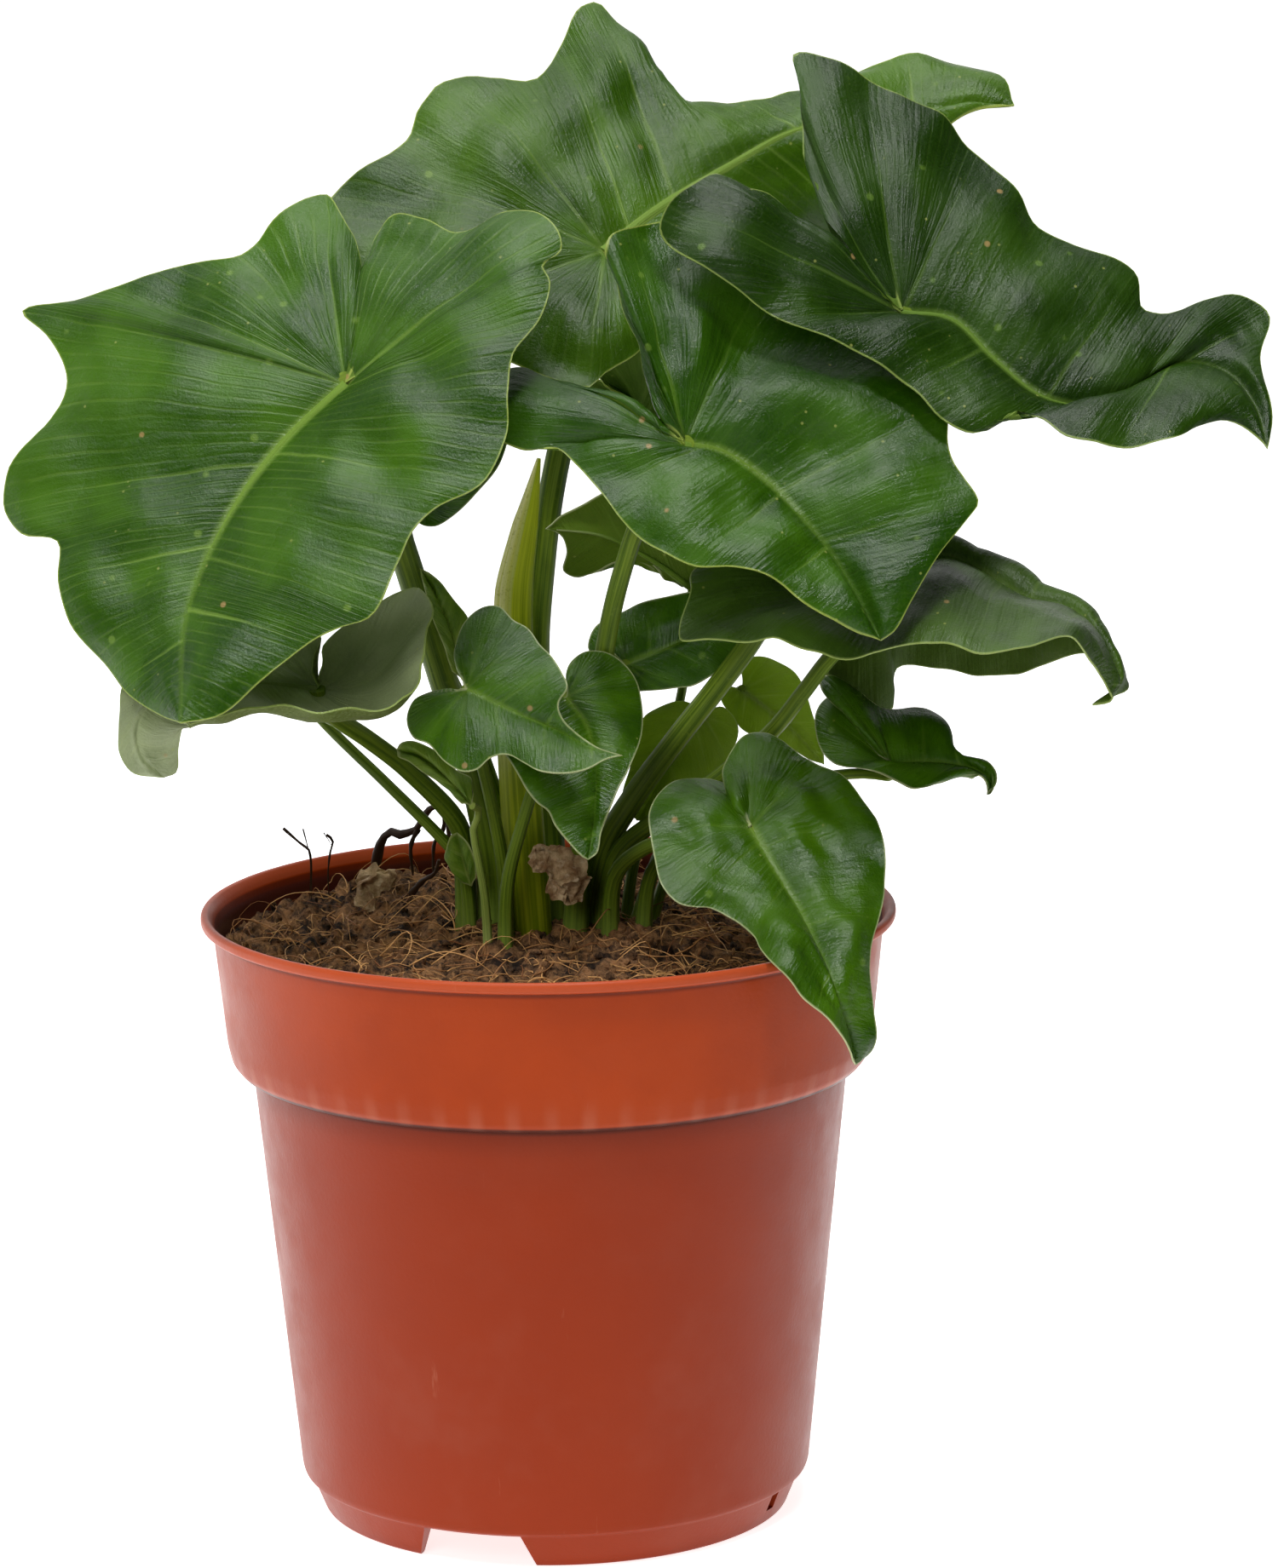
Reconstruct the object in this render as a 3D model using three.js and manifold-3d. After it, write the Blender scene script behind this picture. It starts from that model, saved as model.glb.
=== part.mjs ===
// Potted Atom philodendron in a plastic grower's pot: heart-shaped wavy leaves on separate stalks
// that stand in the soil of a terracotta-coloured pot.
// Millimetres, +Z up, the front of the plant towards -Y. Sizes and leaf outlines are measured from the
// middle of the pot's foot; the last lines move the group to its own origin.

import * as THREE from "three";
import { mergeVertices } from "three/addons/utils/BufferGeometryUtils.js";
import Module from "manifold-3d";

const wasm = await Module();
wasm.setup();

// Pot: driving sizes
const RIM_RADIUS = 85;
const POT_HEIGHT = 150.1;
const WALL = 1.3;
const COLLAR_BOTTOM = 112.2;
const FOOT_TOP = 9;
const FOOT_RADIUS = 57.5;
const POT_SIDES = 48;
const NOTCH_COUNT = 3;
const NOTCH_ANGLE = -20;
const NOTCH_WIDTH = 27;
const WINDOW_COUNT = 2;
const WINDOW_ANGLE = 62;
const WINDOW_SIZE = [3.6, 4.2];
const DRAIN_COUNT = 6;
const DRAIN_RADIUS = 4.5;
const DRAIN_RING = 46;

// Soil
const SOIL_EDGE = 140.5;
const SOIL_HEAP = 4.5;
const STALK_ROOT = 131;
const HOLE_GAP = 0.4;
const GAP = 0.3;

// Leaves
const BLADE_THICKNESS = 0.8;
const STALK_SIDES = 8;
const LEAST_EDGE = 0.05;
const LEAST_HEIGHT = 0.01;

// Leaf outlines are drawn as a viewer in front of the plant sees them: mm to the right of the pot's
// axis and mm above its foot, measured on the plane through the axis, then mm of depth behind it.
const VIEW_DISTANCE = 1500;
const VIEW_HEIGHT = 480;

function placed(right, up, depth) {
  const scale = 1 + depth / VIEW_DISTANCE;
  return new THREE.Vector3(right * scale, depth, VIEW_HEIGHT + (up - VIEW_HEIGHT) * scale);
}

// Each leaf:
//   at      junction of blade and stalk: right, up, depth
//   face    direction that the upper side faces; it also sets how depth grows to the right and up
//   lean    depth gained per mm to the right and up, where it isn't the face's own
//   rib     midrib after the junction, the tip last: right, up, extra depth
//   halves  two margins, each from the sinus at the junction round to the tip: right, up, extra depth
//           and, where veins curve into a lobe, their sideways bend in mm
//   arch    how far each half bulges, as a share of its width
//   fan     share of each margin whose veins start at the junction
//   stalk   base x and y in the soil, points on the way (right, up, depth), radius at base and blade
const LEAVES = {
  upper_left_leaf: {
    at: [-47, 279, -25], face: [-0.2, -1, 0.55], arch: [0.1, 0.12], fan: [0.5, 0.42], size: "large",
    rib: [[-62.7, 265, 1], [-76.5, 246.7, 1], [-86.3, 225, 0], [-89, 196.8, -6]],
    halves: [
      [[-44.5, 284, 0], [-42.6, 292, 2], [-42.6, 304, 5], [-44, 314, 8], [-48, 322, 10], [-51.6, 325.7, 12],
        [-63.4, 318.5, 8], [-72.3, 309.7, 6], [-84, 309, 8], [-102, 302.5, 8], [-116, 300.3, 9], [-124, 297.7, 12],
        [-118, 291.2, 9], [-114.2, 280, 6], [-119, 271, 6], [-128, 259.2, 8], [-130.3, 250.8, 10],
        [-125.4, 243.4, 9], [-117, 241.5, 6], [-116.5, 231, 6], [-113.9, 221, 7], [-102.2, 206, 7], [-93.5, 198.5, 0]],
      [[-42.5, 282, 0], [-40.6, 288, 1], [-40.6, 300, 4], [-40.4, 311, 7], [-38.2, 317, 8], [-34.5, 320.4, 8],
        [-27.2, 318.7, 6], [-20, 314.5, 4], [-14.4, 315.7, 3], [-7, 319.8, 2], [-1, 320, 0], [4.5, 315.5, -2],
        [5.2, 311, -3], [0.8, 307.5, -4], [2.5, 303.5, -5], [0, 294.5, -6], [-6.5, 286, -7], [-8, 277, -8],
        [-8.5, 267, -8], [-14.5, 255, -8], [-25.7, 248.7, -8], [-31, 243.5, -8], [-35, 236, -8], [-41.4, 222.5, -8],
        [-49, 219.8, -7], [-57.5, 216, -7], [-69.6, 206.3, -5], [-79, 198.4, -4]],
    ],
    stalk: { base: [-13, 5], path: [[-13.5, 160, 6], [-17.5, 182, 4], [-25.5, 209, -2], [-32.3, 233, -8], [-40, 258, -13]],
      radius: [4.1, 3.3] },
  },
  top_leaf: {
    at: [15.7, 310.5, 20], face: [0.1, -1, 0.7], arch: [0.1, 0.1], fan: [0.55, 0.4], size: "large",
    rib: [[28.2, 320.2, 0], [46, 330.6, 0], [62, 339, 1], [88, 343, 5], [114, 344.4, 2]],
    halves: [
      [[18, 305.5, 0], [22, 296.5, -1], [25, 288, -2], [21.6, 284.6, -3], [16, 281.7, -3], [11.5, 278, -3],
        [4, 279, -1], [-8, 284, 3], [-28, 292, 6], [-52, 305, 9], [-49.2, 325, 8], [-40.5, 331, 6],
        [-32, 335.6, 5], [-27.5, 346, 5], [-20, 352.3, 5], [-10, 352.5, 3], [0, 352.3, 2], [5, 360, 4],
        [9.5, 367.5, 6], [14.3, 370.5, 8], [20, 364.7, 6], [25.6, 356.6, 4], [31, 349, 3], [39, 345.2, 3],
        [50, 346, 5], [61.8, 348.4, 7], [77, 353.2, 9], [88, 355, 11], [100, 353.3, 10], [110.5, 351, 7]],
      [[18.8, 306.5, 0], [23.5, 297, 2], [27.5, 287, 5], [31, 279, 9], [38, 275, 13], [48, 280, 17], [57, 292, 20],
        [64, 306, 23], [70, 311.8, 24], [78, 315, 21], [84, 321, 17], [91, 331, 10], [98, 339, 4], [106, 343.6, 1]],
    ],
    stalk: { base: [1, 7], path: [[0.5, 168, 8], [-1.2, 195, 9], [-2, 214, 10], [-0.5, 232, 11], [2.2, 252, 13], [8.5, 280, 16]],
      radius: [4.1, 3] },
  },
  upper_right_leaf: {
    at: [86.9, 294.7, -15], face: [0.1, -1, 0.5], arch: [0.12, 0.12], fan: [0.5, 0.5], size: "large",
    rib: [[99, 293, 0], [109, 283.5, 0], [120, 274.5, 0], [130, 271.7, 1], [140, 273, 2], [147, 278.5, 4],
      [155, 282, 5], [165, 279.5, 3], [172, 271.5, -1], [175.4, 260.7, -6]],
    halves: [
      [[84.6, 302, 0], [82.2, 312, 2], [78.5, 320.5, 2], [70.5, 324.6, 1, 5], [64.2, 331, 2, 8], [63.5, 342, 4, 8],
        [61.5, 352, 6, 8], [61.3, 357.3, 7, 7], [69.6, 356.4, 6, 5], [79.2, 351.6, 6, 3], [88.8, 345.9, 6, 1],
        [97.4, 340.5, 7], [106, 333.2, 7], [114.7, 322.4, 7], [120, 315.1, 7], [132, 309.6, 8], [143, 303.6, 9],
        [144.6, 294.5, 8], [151.2, 293.1, 7], [160.8, 297, 8], [168.4, 298.4, 8], [175.6, 293.5, 7],
        [173.2, 282, 3], [176.3, 266, -3]],
      [[80.8, 298.4, -1], [73.8, 304.5, -3], [67, 311.8, -5], [61.9, 318.3, -7], [54.5, 323.8, -9], [47.5, 325.2, -10],
        [42.5, 329, -11], [37.5, 327, -13], [31, 321.5, -14], [29, 315.3, -14], [34, 310, -14], [45.6, 301.8, -13],
        [58.1, 293.3, -12], [68.6, 289.1, -11], [79.2, 283.9, -10], [89.7, 276.3, -9], [96, 269, -8],
        [104, 265.2, -8], [112.8, 268.8, -6], [119.5, 269.3, -5], [127, 264, -7], [139.6, 262, -8],
        [151.2, 262.6, -8], [158, 266, -6], [166, 267.5, -4], [171.1, 265, -4]],
    ],
    stalk: { base: [10.5, 3.5], path: [[13.5, 163, 2], [20, 174.8, 0], [31.7, 190.8, -3], [41.8, 203.6, -6],
      [51.2, 216.5, -9], [63, 238, -12], [75, 265, -12], [83, 284, -10]], radius: [3.4, 2.5] },
  },
  centre_leaf: {
    at: [34.6, 263.5, -38], face: [0.1, -1, 0.45], arch: [0.12, 0.1], fan: [0.5, 0.45], size: "large",
    rib: [[43.6, 261.8, 1], [55, 254, 1], [64, 244, 0], [72, 233, -1], [81.7, 214.8, -4]],
    halves: [
      [[30.5, 266.6, 1], [24.7, 269.8, 3], [14, 275.2, 8], [9.3, 277.8, 10], [0, 280.3, 13], [-8, 283, 15],
        [-15, 279, 15], [-16, 272, 14], [-12, 266, 12], [-7, 263.5, 10], [-1, 262.6, 8], [3.3, 263.4, 5],
        [7.6, 259.6, 2], [13.9, 252.2, 0], [19.4, 244.8, -2], [27.2, 238.2, -4], [36.6, 233.6, -6],
        [46.8, 232.9, -7], [57, 228.9, -7], [63.3, 223.9, -7], [75.9, 216.7, -5]],
      [[31, 269.3, 1], [26.3, 275.3, 3], [24.2, 281, 3], [22.2, 288.5, 2], [20.4, 296.6, 1], [18.9, 304.5, 0],
        [16.4, 312.8, 0], [20.5, 315.6, 2], [29, 316.8, 8], [42, 314, 11], [54, 307, 12], [65, 299, 11],
        [78, 289, 8], [89, 280, 5], [97, 271, 3], [98, 261, 0], [102.1, 253.8, -2], [105.6, 248.7, -4], [102, 243.4, -4],
        [95.6, 235.3, -5], [89.3, 224.7, -5], [84.9, 216.8, -5]],
    ],
    stalk: { base: [6.5, -3.5], path: [[8.7, 168, -4], [12, 195, -7], [16, 220.5, -12], [19.7, 234.5, -16], [23.5, 245, -20]],
      radius: [3.2, 2.2] },
  },
  lower_right_leaf: {
    at: [80, 225, -25], face: [0, -0.2, 1], lean: [0, 0], arch: [0.15, 0.75], fan: [0.5, 0.42], size: "large",
    colour: "dark",
    rib: [[90, 231.5, 6], [97, 235, 9], [104.4, 232.6, 9], [111.9, 227.9, 6], [118, 224.4, 3], [127.7, 221.8, 0],
      [132.5, 218, -4], [137.5, 210, -9], [140, 203, -12], [133.4, 197.7, -15]],
    halves: [
      [[76.5, 229.5, 1], [70, 236, 2], [58, 241, 1], [48, 240, -2], [40.5, 236, -5], [35.6, 232, -7], [35.4, 227, -9],
        [32.8, 219, -14], [33.2, 215.2, -18], [44, 215.9, -22], [54.7, 216.3, -24], [63.7, 213.7, -25],
        [75, 210.5, -26], [84, 211.9, -27], [95.3, 214.2, -30], [104.3, 211.4, -33], [113, 211.3, -34],
        [120.9, 214, -31], [127.5, 215.4, -27], [130.7, 211.6, -23], [135.2, 205.8, -18], [138.2, 199.3, -15]],
      [[77.5, 224, 6], [73, 219, 18], [70, 211, 32], [69.6, 203, 39], [75, 197.7, 41], [83.8, 197.7, 41],
        [83.6, 203, 41], [85.5, 208, 41], [97, 207.6, 39], [105, 206, 36], [115, 206.3, 31], [122, 209, 25],
        [131, 211, 14], [138.5, 207, 1], [141.5, 202, -8]],
    ],
    stalk: { base: [14, -2.5], path: [[17, 162, -3], [27, 171, -4], [41, 180.5, -5], [55.2, 192.7, -6], [63, 202.4, -9], [69.5, 210.8, -14]],
      radius: [2.8, 1.9] },
  },
  lower_left_leaf: {
    at: [-55.4, 204.8, -36], face: [-0.1, -0.4, 1], lean: [0, 0], arch: [-0.42, 0.08], fan: [0.5, 0.45], size: "middle",
    colour: "dark",
    rib: [[-70, 206.5, 0], [-84, 206.5, -2], [-94, 203, -5], [-99, 196.5, -7], [-98.5, 189, -7], [-93, 183.2, -6]],
    halves: [
      [[-54.8, 209, 1], [-53.4, 215.5, 6], [-49.7, 219.3, 9], [-43.4, 223.5, 10], [-36, 228, 10], [-30, 229.3, 9],
        [-26.9, 225, 6], [-28, 219, 1], [-29.9, 212, -5], [-31.2, 205.5, -11], [-34, 201.3, -16], [-40.5, 199.3, -19],
        [-48.4, 198.8, -21], [-55.7, 199.5, -22], [-64.2, 200.3, -22], [-74, 200, -20], [-82, 199.2, -16],
        [-88, 195.4, -11], [-89.5, 190, -8], [-90, 184.6, -6]],
      [[-56.6, 208.5, 1], [-56, 213, 4], [-54.4, 218, 9], [-58, 224, 14], [-72, 227, 20], [-88, 223, 18],
        [-98, 213.5, 9], [-103.4, 204, -1], [-104.3, 195, -6], [-104, 189.5, -7], [-100.5, 184.2, -6]],
    ],
    stalk: { base: [-20, 7.5], path: [[-20.3, 160, 8], [-21.5, 170, 6], [-33, 183.5, -1], [-43, 191.8, -10], [-50.5, 197, -21]],
      radius: [2.8, 2.1] },
  },
  front_small_leaf: {
    at: [-19.1, 204.1, -32], face: [-0.15, -1, 0.5], arch: [0.1, 0.1], fan: [0.5, 0.5], size: "middle",
    rib: [[-8, 198.5, 1], [3, 193.5, 1], [10, 189.5, 0], [18.5, 187.2, -1]],
    halves: [
      [[-20.4, 207, 0], [-22.1, 211.8, 1], [-21.4, 216, 3], [-19.2, 220.6, 5], [-15, 224, 6], [-11, 224.2, 5],
        [-7.5, 220.8, 4], [-4, 218.9, 3], [-1.2, 215.1, 2], [1.7, 211.8, 0], [4.2, 207.6, -1], [5.5, 204.1, -2],
        [3.2, 199.8, -2], [4.1, 196.7, -1], [6.9, 193.4, 0], [12.5, 189.2, 0]],
      [[-21.8, 203.8, 0], [-28.7, 203, 1], [-31.9, 201.5, 2], [-33.8, 197, 3], [-32.2, 192.2, 2], [-28.6, 190.6, 1],
        [-25, 186.3, 0], [-20.3, 183.7, -2], [-17, 184.2, -2], [-13.5, 187, -2], [-9.5, 187.7, -1], [-5.1, 185.4, -2],
        [-1.6, 183.4, -3], [4, 182.8, -3], [10, 184, -2], [14.5, 186.2, -1]],
    ],
    stalk: { base: [-10, -9], path: [[-11, 160, -11], [-14, 178, -16], [-17.5, 194, -23]], radius: [2, 1.4] },
  },
  front_long_leaf: {
    at: [5, 201.9, -25], face: [0.25, -1, 0.45], arch: [0.12, 0.12], fan: [0.42, 0.42], size: "middle",
    rib: [[9.6, 195.4, 1], [12, 183.5, 1], [11.4, 171.7, -1], [9.9, 161.3, -4]],
    halves: [
      [[2, 202.3, 2], [-3, 201.6, 4], [-9, 199, 6], [-12.6, 194, 6], [-12, 190, 4], [-9.4, 186.8, 1], [-6.9, 182.6, 0],
        [-4.9, 179, -1], [-2.3, 175.6, -2], [0.2, 173.6, -2], [1.9, 170, -3], [5.4, 165.2, -3], [8.3, 162, -4]],
      [[5.4, 205.5, 1], [7.2, 210.5, 2], [10.4, 212.9, 3], [15, 212.8, 3], [18.8, 210.4, 2], [22.2, 205.3, 1],
        [23.3, 198, 0], [22.9, 191.5, -1], [19.9, 183.4, -3], [17.5, 179.3, -3], [15.5, 174.6, -3], [13.3, 168.6, -3],
        [12, 162.8, -4]],
    ],
    stalk: { base: [-10.5, -19.5], path: [[-9.8, 156, -19.5], [-6.5, 169, -19.5], [-2, 183, -19], [2.5, 196, -19]], radius: [2, 1.4] },
  },
  front_right_leaf: {
    at: [49.7, 168.8, -36], face: [0.15, -1, 0.8], arch: [0.12, 0.14], fan: [0.45, 0.4], size: "middle",
    rib: [[54.5, 159.9, 0], [61.3, 148.1, -1], [65.8, 138.1, -3], [70.3, 126.3, -3], [75.3, 108.6, 12]],
    halves: [
      [[47.4, 172.4, 2], [45.6, 176.6, 4], [43.4, 180, 6], [37.5, 181.3, 6], [31.8, 181.1, 5], [27.2, 178.1, 4],
        [24.8, 173.2, 3], [25.2, 167, 2], [26.2, 160.9, 1], [27.6, 155.1, 0], [31.5, 150.3, 0], [35.5, 149.1, 0],
        [40.1, 148.8, 0], [45.8, 145.7, -1], [50.1, 141.7, -2], [52.2, 137.6, -5], [56.6, 132.7, -10],
        [61.2, 127.6, -10], [65.7, 123.4, -8], [70.3, 117.7, -3], [73.3, 112, 5]],
      [[47.6, 173.4, 0.6], [44.3, 178.1, 1.4], [42.8, 182.6, 2.6], [44.4, 187.6, 4], [48.4, 191.8, 5], [53, 192.8, 5], [57, 191, 4],
        [61.5, 187.8, 3], [66, 184.5, 2], [71.7, 181.3, 1], [75.1, 177.1, 0], [79.4, 171.3, -1], [82, 164, -2],
        [82.6, 154, -2], [81, 145.5, -3], [78.9, 137.5, -2], [79.4, 129, 0], [80.1, 119.1, 5], [78.9, 112, 10]],
    ],
    stalk: { base: [15, -9], path: [[16.5, 157, -11], [22, 163, -15], [31, 166.5, -20], [41, 167, -26]], radius: [2.4, 1.6] },
  },
  inner_right_leaf: {
    at: [19.5, 209.7, -2.5], face: [0.1, -1, 0.5], arch: [0.1, 0.1], fan: [0.4, 0.4], size: "middle",
    rib: [[28, 213, 0], [37, 217, 0], [46, 220.5, 0], [53, 223, 1]],
    halves: [
      [[16.6, 212.6, 0], [12.4, 212, 1], [10.4, 214, 2], [12.4, 218.8, 3], [18.8, 222.1, 3], [28.8, 225.4, -2],
        [36, 227.4, -5], [45, 228, -6], [51, 225, -5]],
      [[17.6, 206.6, 0], [15, 204, 1], [17.5, 202.8, 1], [23.3, 203, 0], [29.6, 203.3, -1], [34.9, 204, -2],
        [39.7, 206.3, -2], [43.4, 209, -2], [46.8, 214, -1], [50.5, 219.5, 0]],
    ],
    stalk: { base: [12, 10], path: [[12.5, 165, 9], [15, 185, 7], [18, 200, 2]], radius: [1.9, 1.3] },
  },
  inner_left_leaf: {
    at: [36, 228.5, 8], face: [0.1, 1, 0.5], arch: [0.1, 0.12], fan: [0.4, 0.3], size: "plain",
    rib: [[26, 236, 0], [14, 242, 0], [0.6, 243.5, 0]],
    halves: [
      [[37.5, 231, 0], [39, 237, 0], [35, 245, 0], [28, 250.5, 0], [20, 252.8, 0], [15.1, 251.5, 0], [9.1, 248, 0],
        [4, 246, 0]],
      [[33.4, 228.4, 0], [29.5, 230.4, 1], [27.4, 232.8, 1], [22.1, 234.9, 1], [17.1, 234.7, 1], [12, 232.3, 2],
        [8, 231.4, 2], [4.6, 233.6, 2], [5.4, 238.5, 1], [4, 242, 0]],
    ],
    stalk: { base: [19, 8], path: [[21, 160, 13], [27, 180, 25], [32.8, 201, 25], [35, 216, 17]], radius: [1.5, 1.1] },
  },
  inner_low_leaf: {
    at: [38.5, 196.5, 18], face: [0.25, -1, 0.3], arch: [0.1, 0.1], fan: [0.45, 0.45], size: "plain",
    rib: [[34, 190, 0], [28, 181, 0], [22, 171, -2]],
    halves: [
      [[37.4, 199, 0], [33.5, 200.4, 1], [28.5, 199.3, 1], [24, 196.6, 1], [21.8, 191, 1], [20.2, 184, 0],
        [18.5, 178, -1], [19, 173, -2]],
      [[40.4, 198.8, 0], [43, 199, 0], [45.3, 196.3, 1], [46.2, 191.5, 1], [44.8, 185.8, 1], [42, 179, 0],
        [36, 173, -1], [28, 169.5, -2]],
    ],
    stalk: { base: [20.5, 1], path: [[26, 160, 6], [34, 178, 17], [37.5, 190, 21]], radius: [1.5, 1.1] },
  },
  inner_back_leaf: {
    at: [47.8, 203.2, 28], face: [0.2, -1, 0.4], arch: [0.1, 0.1], fan: [0.45, 0.4], size: "plain",
    rib: [[53, 199, 0], [60, 193, 0], [67.8, 184.3, 0]],
    halves: [
      [[47.9, 206.5, 1], [49.2, 209.3, 2], [52, 210.4, 2], [55.5, 210, 2], [59.9, 207.6, 1], [62.5, 204, 1],
        [64.9, 198.2, 0], [66.6, 191.5, 0]],
      [[45, 203.9, 1], [42.6, 201.2, 1], [44.4, 197.5, 1], [47, 194, 0], [50.5, 191.7, 0], [55.3, 190.8, 0],
        [60, 188.2, 0], [64.6, 185.3, 0]],
    ],
    stalk: { base: [25, 7], path: [[30, 160, 17], [39, 180, 32], [45.5, 196, 36]], radius: [1.5, 1.1] },
  },
  curled_leaf: {
    at: [84.7, 183.1, -6], face: [0.1, -1, 0.7], arch: [0.18, 0.15], fan: [0.5, 0.5], size: "middle",
    rib: [[91, 184.5, 0], [99, 184, 0], [105, 182.4, -1], [108.6, 178.8, -2], [107.7, 176.3, -3]],
    halves: [
      [[81.6, 186.6, -1], [75.5, 193.8, -2], [66.6, 204.6, -4], [69.6, 206.2, -2], [74.4, 203, 0], [79.4, 199, 2],
        [85.5, 198.2, 3], [92.3, 197.6, 3], [96, 195.4, 2], [97.8, 191, 1], [100, 186.6, 0], [103.6, 185, -1],
        [107.4, 182.6, -1], [109, 178.8, -2]],
      [[81.2, 187.2, 2], [75.6, 195.4, 4], [70.4, 200.6, 6], [66.2, 196, 5], [66.6, 188.6, 3], [70.6, 184.2, 1],
        [75.6, 183.2, 0], [80.5, 182.2, -1], [85.4, 179.6, -3], [89.6, 177.8, -4], [94.5, 179.1, -3],
        [99.8, 181, -2], [104.6, 180.7, -2], [107, 178.6, -3]],
    ],
    stalk: { base: [23, -4], path: [[26, 159, -4], [36, 167.5, -5], [53, 176.5, -3], [68, 181, 0], [78, 181.8, 1]],
      radius: [2.2, 1.3] },
  },
  back_left_leaf: {
    at: [-33, 250, 2], face: [0.2, -1, 0.5], arch: [0.1, 0.1], fan: [0.45, 0.45], size: "plain",
    rib: [[-26, 257, 0], [-17, 266, 0], [-7, 273, 1]],
    halves: [
      [[-36.2, 251.6, 0], [-42, 256, 0], [-44, 264, 1], [-38, 273, 2], [-28, 279, 2], [-17, 279, 2], [-10, 276, 1]],
      [[-32.2, 247.2, 0], [-29.6, 244.8, 0], [-26, 244.3, 0], [-21.5, 246.8, 0], [-15.2, 253.2, 0], [-10, 259.5, 0],
        [-7.5, 266.5, 1]],
    ],
    stalk: { base: [-7, 10], path: [[-9, 166, 14], [-18, 196, 16], [-27, 218, 14], [-31, 235, 11]], radius: [1.8, 1.2] },
  },
  back_centre_leaf: {
    at: [24, 272, 42], face: [0.2, 1, 0.4], arch: [0.1, 0.1], fan: [0.45, 0.45], size: "plain",
    rib: [[33, 266, 0], [45, 257, 0], [58, 246, 2]],
    halves: [
      [[22, 275, 0], [14, 280.5, 0], [12, 289, 0], [22, 295, 0], [34, 294, 1], [47, 286, 2], [57, 273, 2], [60, 259, 2]],
      [[21.4, 273, 0.8], [13, 278.6, 1.2], [7, 273, 1.4], [11, 263, 1.4], [19, 258, 2], [28, 252, 2], [39, 246, 2], [49, 244, 2]],
    ],
    stalk: { base: [8, 16], path: [[7.5, 175, 22], [12.3, 205, 27], [18.2, 230, 33], [22.5, 252, 37]], radius: [1.9, 1.3] },
  },
  far_left_leaf: {
    at: [-72, 222, 14], face: [-0.35, 1, 0.7], arch: [0.1, 0.1], fan: [0.45, 0.45], size: "plain",
    rib: [[-81, 229, 0], [-93, 238, 0], [-107, 246, 0]],
    halves: [
      [[-69.6, 225, 0], [-66, 231, 0], [-68, 241, 0], [-77, 250, 0], [-90, 255, 0], [-101, 252, 0]],
      [[-74.6, 219.8, 0], [-79, 215.5, 0], [-87, 216, 0], [-96, 222, 0], [-104, 231, 0], [-108, 240, 0]],
    ],
    stalk: { base: [-19, 0], path: [[-21, 161, 0], [-24.8, 166, 0], [-39, 181, 2], [-53.8, 196.2, 6], [-64, 209, 11]],
      radius: [1.7, 1.2] },
  },
  front_bract: {
    at: [-18.3, 175.2, -24], face: [-0.5, -1, 0.6], arch: [0.15, 0.15], fan: [0.25, 0.25], size: "small",
    colour: "fresh",
    rib: [[-24, 181.8, 0], [-30, 187, 0], [-36.5, 189.5, -1]],
    halves: [
      [[-17.6, 178.4, 0], [-18.3, 182.4, 0], [-22, 184.2, 0], [-26.6, 187.8, 0], [-32.5, 189.8, 0]],
      [[-20.4, 175.8, 0], [-25, 179.6, 0], [-29.6, 184, 0], [-33.6, 187.6, 0]],
    ],
    stalk: { base: [-14.6, -20.5], path: [[-15.6, 153, -20.5], [-17, 162, -20.5], [-18, 170, -20]], radius: [1.2, 0.9] },
  },
};

// Small bracts and dead scraps: the same blades with no stalk of their own
const SCALES = {
  left_bract: {
    at: [-18.8, 155, -8], face: [-0.4, -1, 0.2], arch: [0.2, 0.2], fan: [0.3, 0.3], size: "small", colour: "fresh",
    rib: [[-20.5, 161, 0], [-22.2, 168.6, 0]],
    halves: [
      [[-20.6, 156.2, 0], [-24.4, 159.6, 0], [-25.6, 162, 0], [-24.4, 165, 0]],
      [[-17.6, 157.2, 0], [-18.2, 162, 0], [-19.6, 166, 0]],
    ],
  },
  stalk_bract: {
    at: [-20.6, 207, -14], face: [0.3, -1, 0.1], arch: [0.2, 0.2], fan: [0.3, 0.3], size: "small", colour: "fresh",
    rib: [[-22, 216, 0], [-25.4, 225.4, 0], [-29.9, 234, 1]],
    halves: [
      [[-22.6, 208.4, 0], [-24.6, 215, 0], [-27.4, 223.6, 0]],
      [[-18.6, 209.6, 0], [-17.8, 217, 0], [-18.8, 222, 0], [-24.4, 229.2, 0]],
    ],
  },
  dry_left: {
    at: [-36.8, 157.5, 29], face: [-0.3, -1, 0.6], arch: [0.2, 0.2], fan: [0.3, 0.3], size: "small", colour: "dry",
    rib: [[-41, 157.6, -1], [-44.6, 153.6, -1], [-46, 150.4, 0]],
    halves: [
      [[-37.6, 160, 1], [-42, 160.6, 1], [-46.4, 156.6, 1], [-47.6, 152.4, 0]],
      [[-37.8, 154.8, 0], [-40.4, 154.6, 0], [-41.6, 151.4, 0], [-44, 150, 0]],
    ],
  },
  dry_centre: {
    at: [-2.6, 165.2, -17], face: [0.2, -1, 0.3], arch: [0.2, 0.2], fan: [0.3, 0.3], size: "small", colour: "dry",
    rib: [[1, 160, -1], [5, 154.6, -1], [6.4, 150.4, 0]],
    halves: [
      [[-4.6, 163.6, 0], [-3.4, 159.8, 0], [0.6, 157, 0], [1.2, 153, -1], [3.6, 150.8, 0]],
      [[-0.6, 166.6, 0], [3.4, 165, -1], [7.4, 161.6, -1], [9.8, 157.6, 0], [8.6, 153, 0]],
    ],
  },
};

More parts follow.
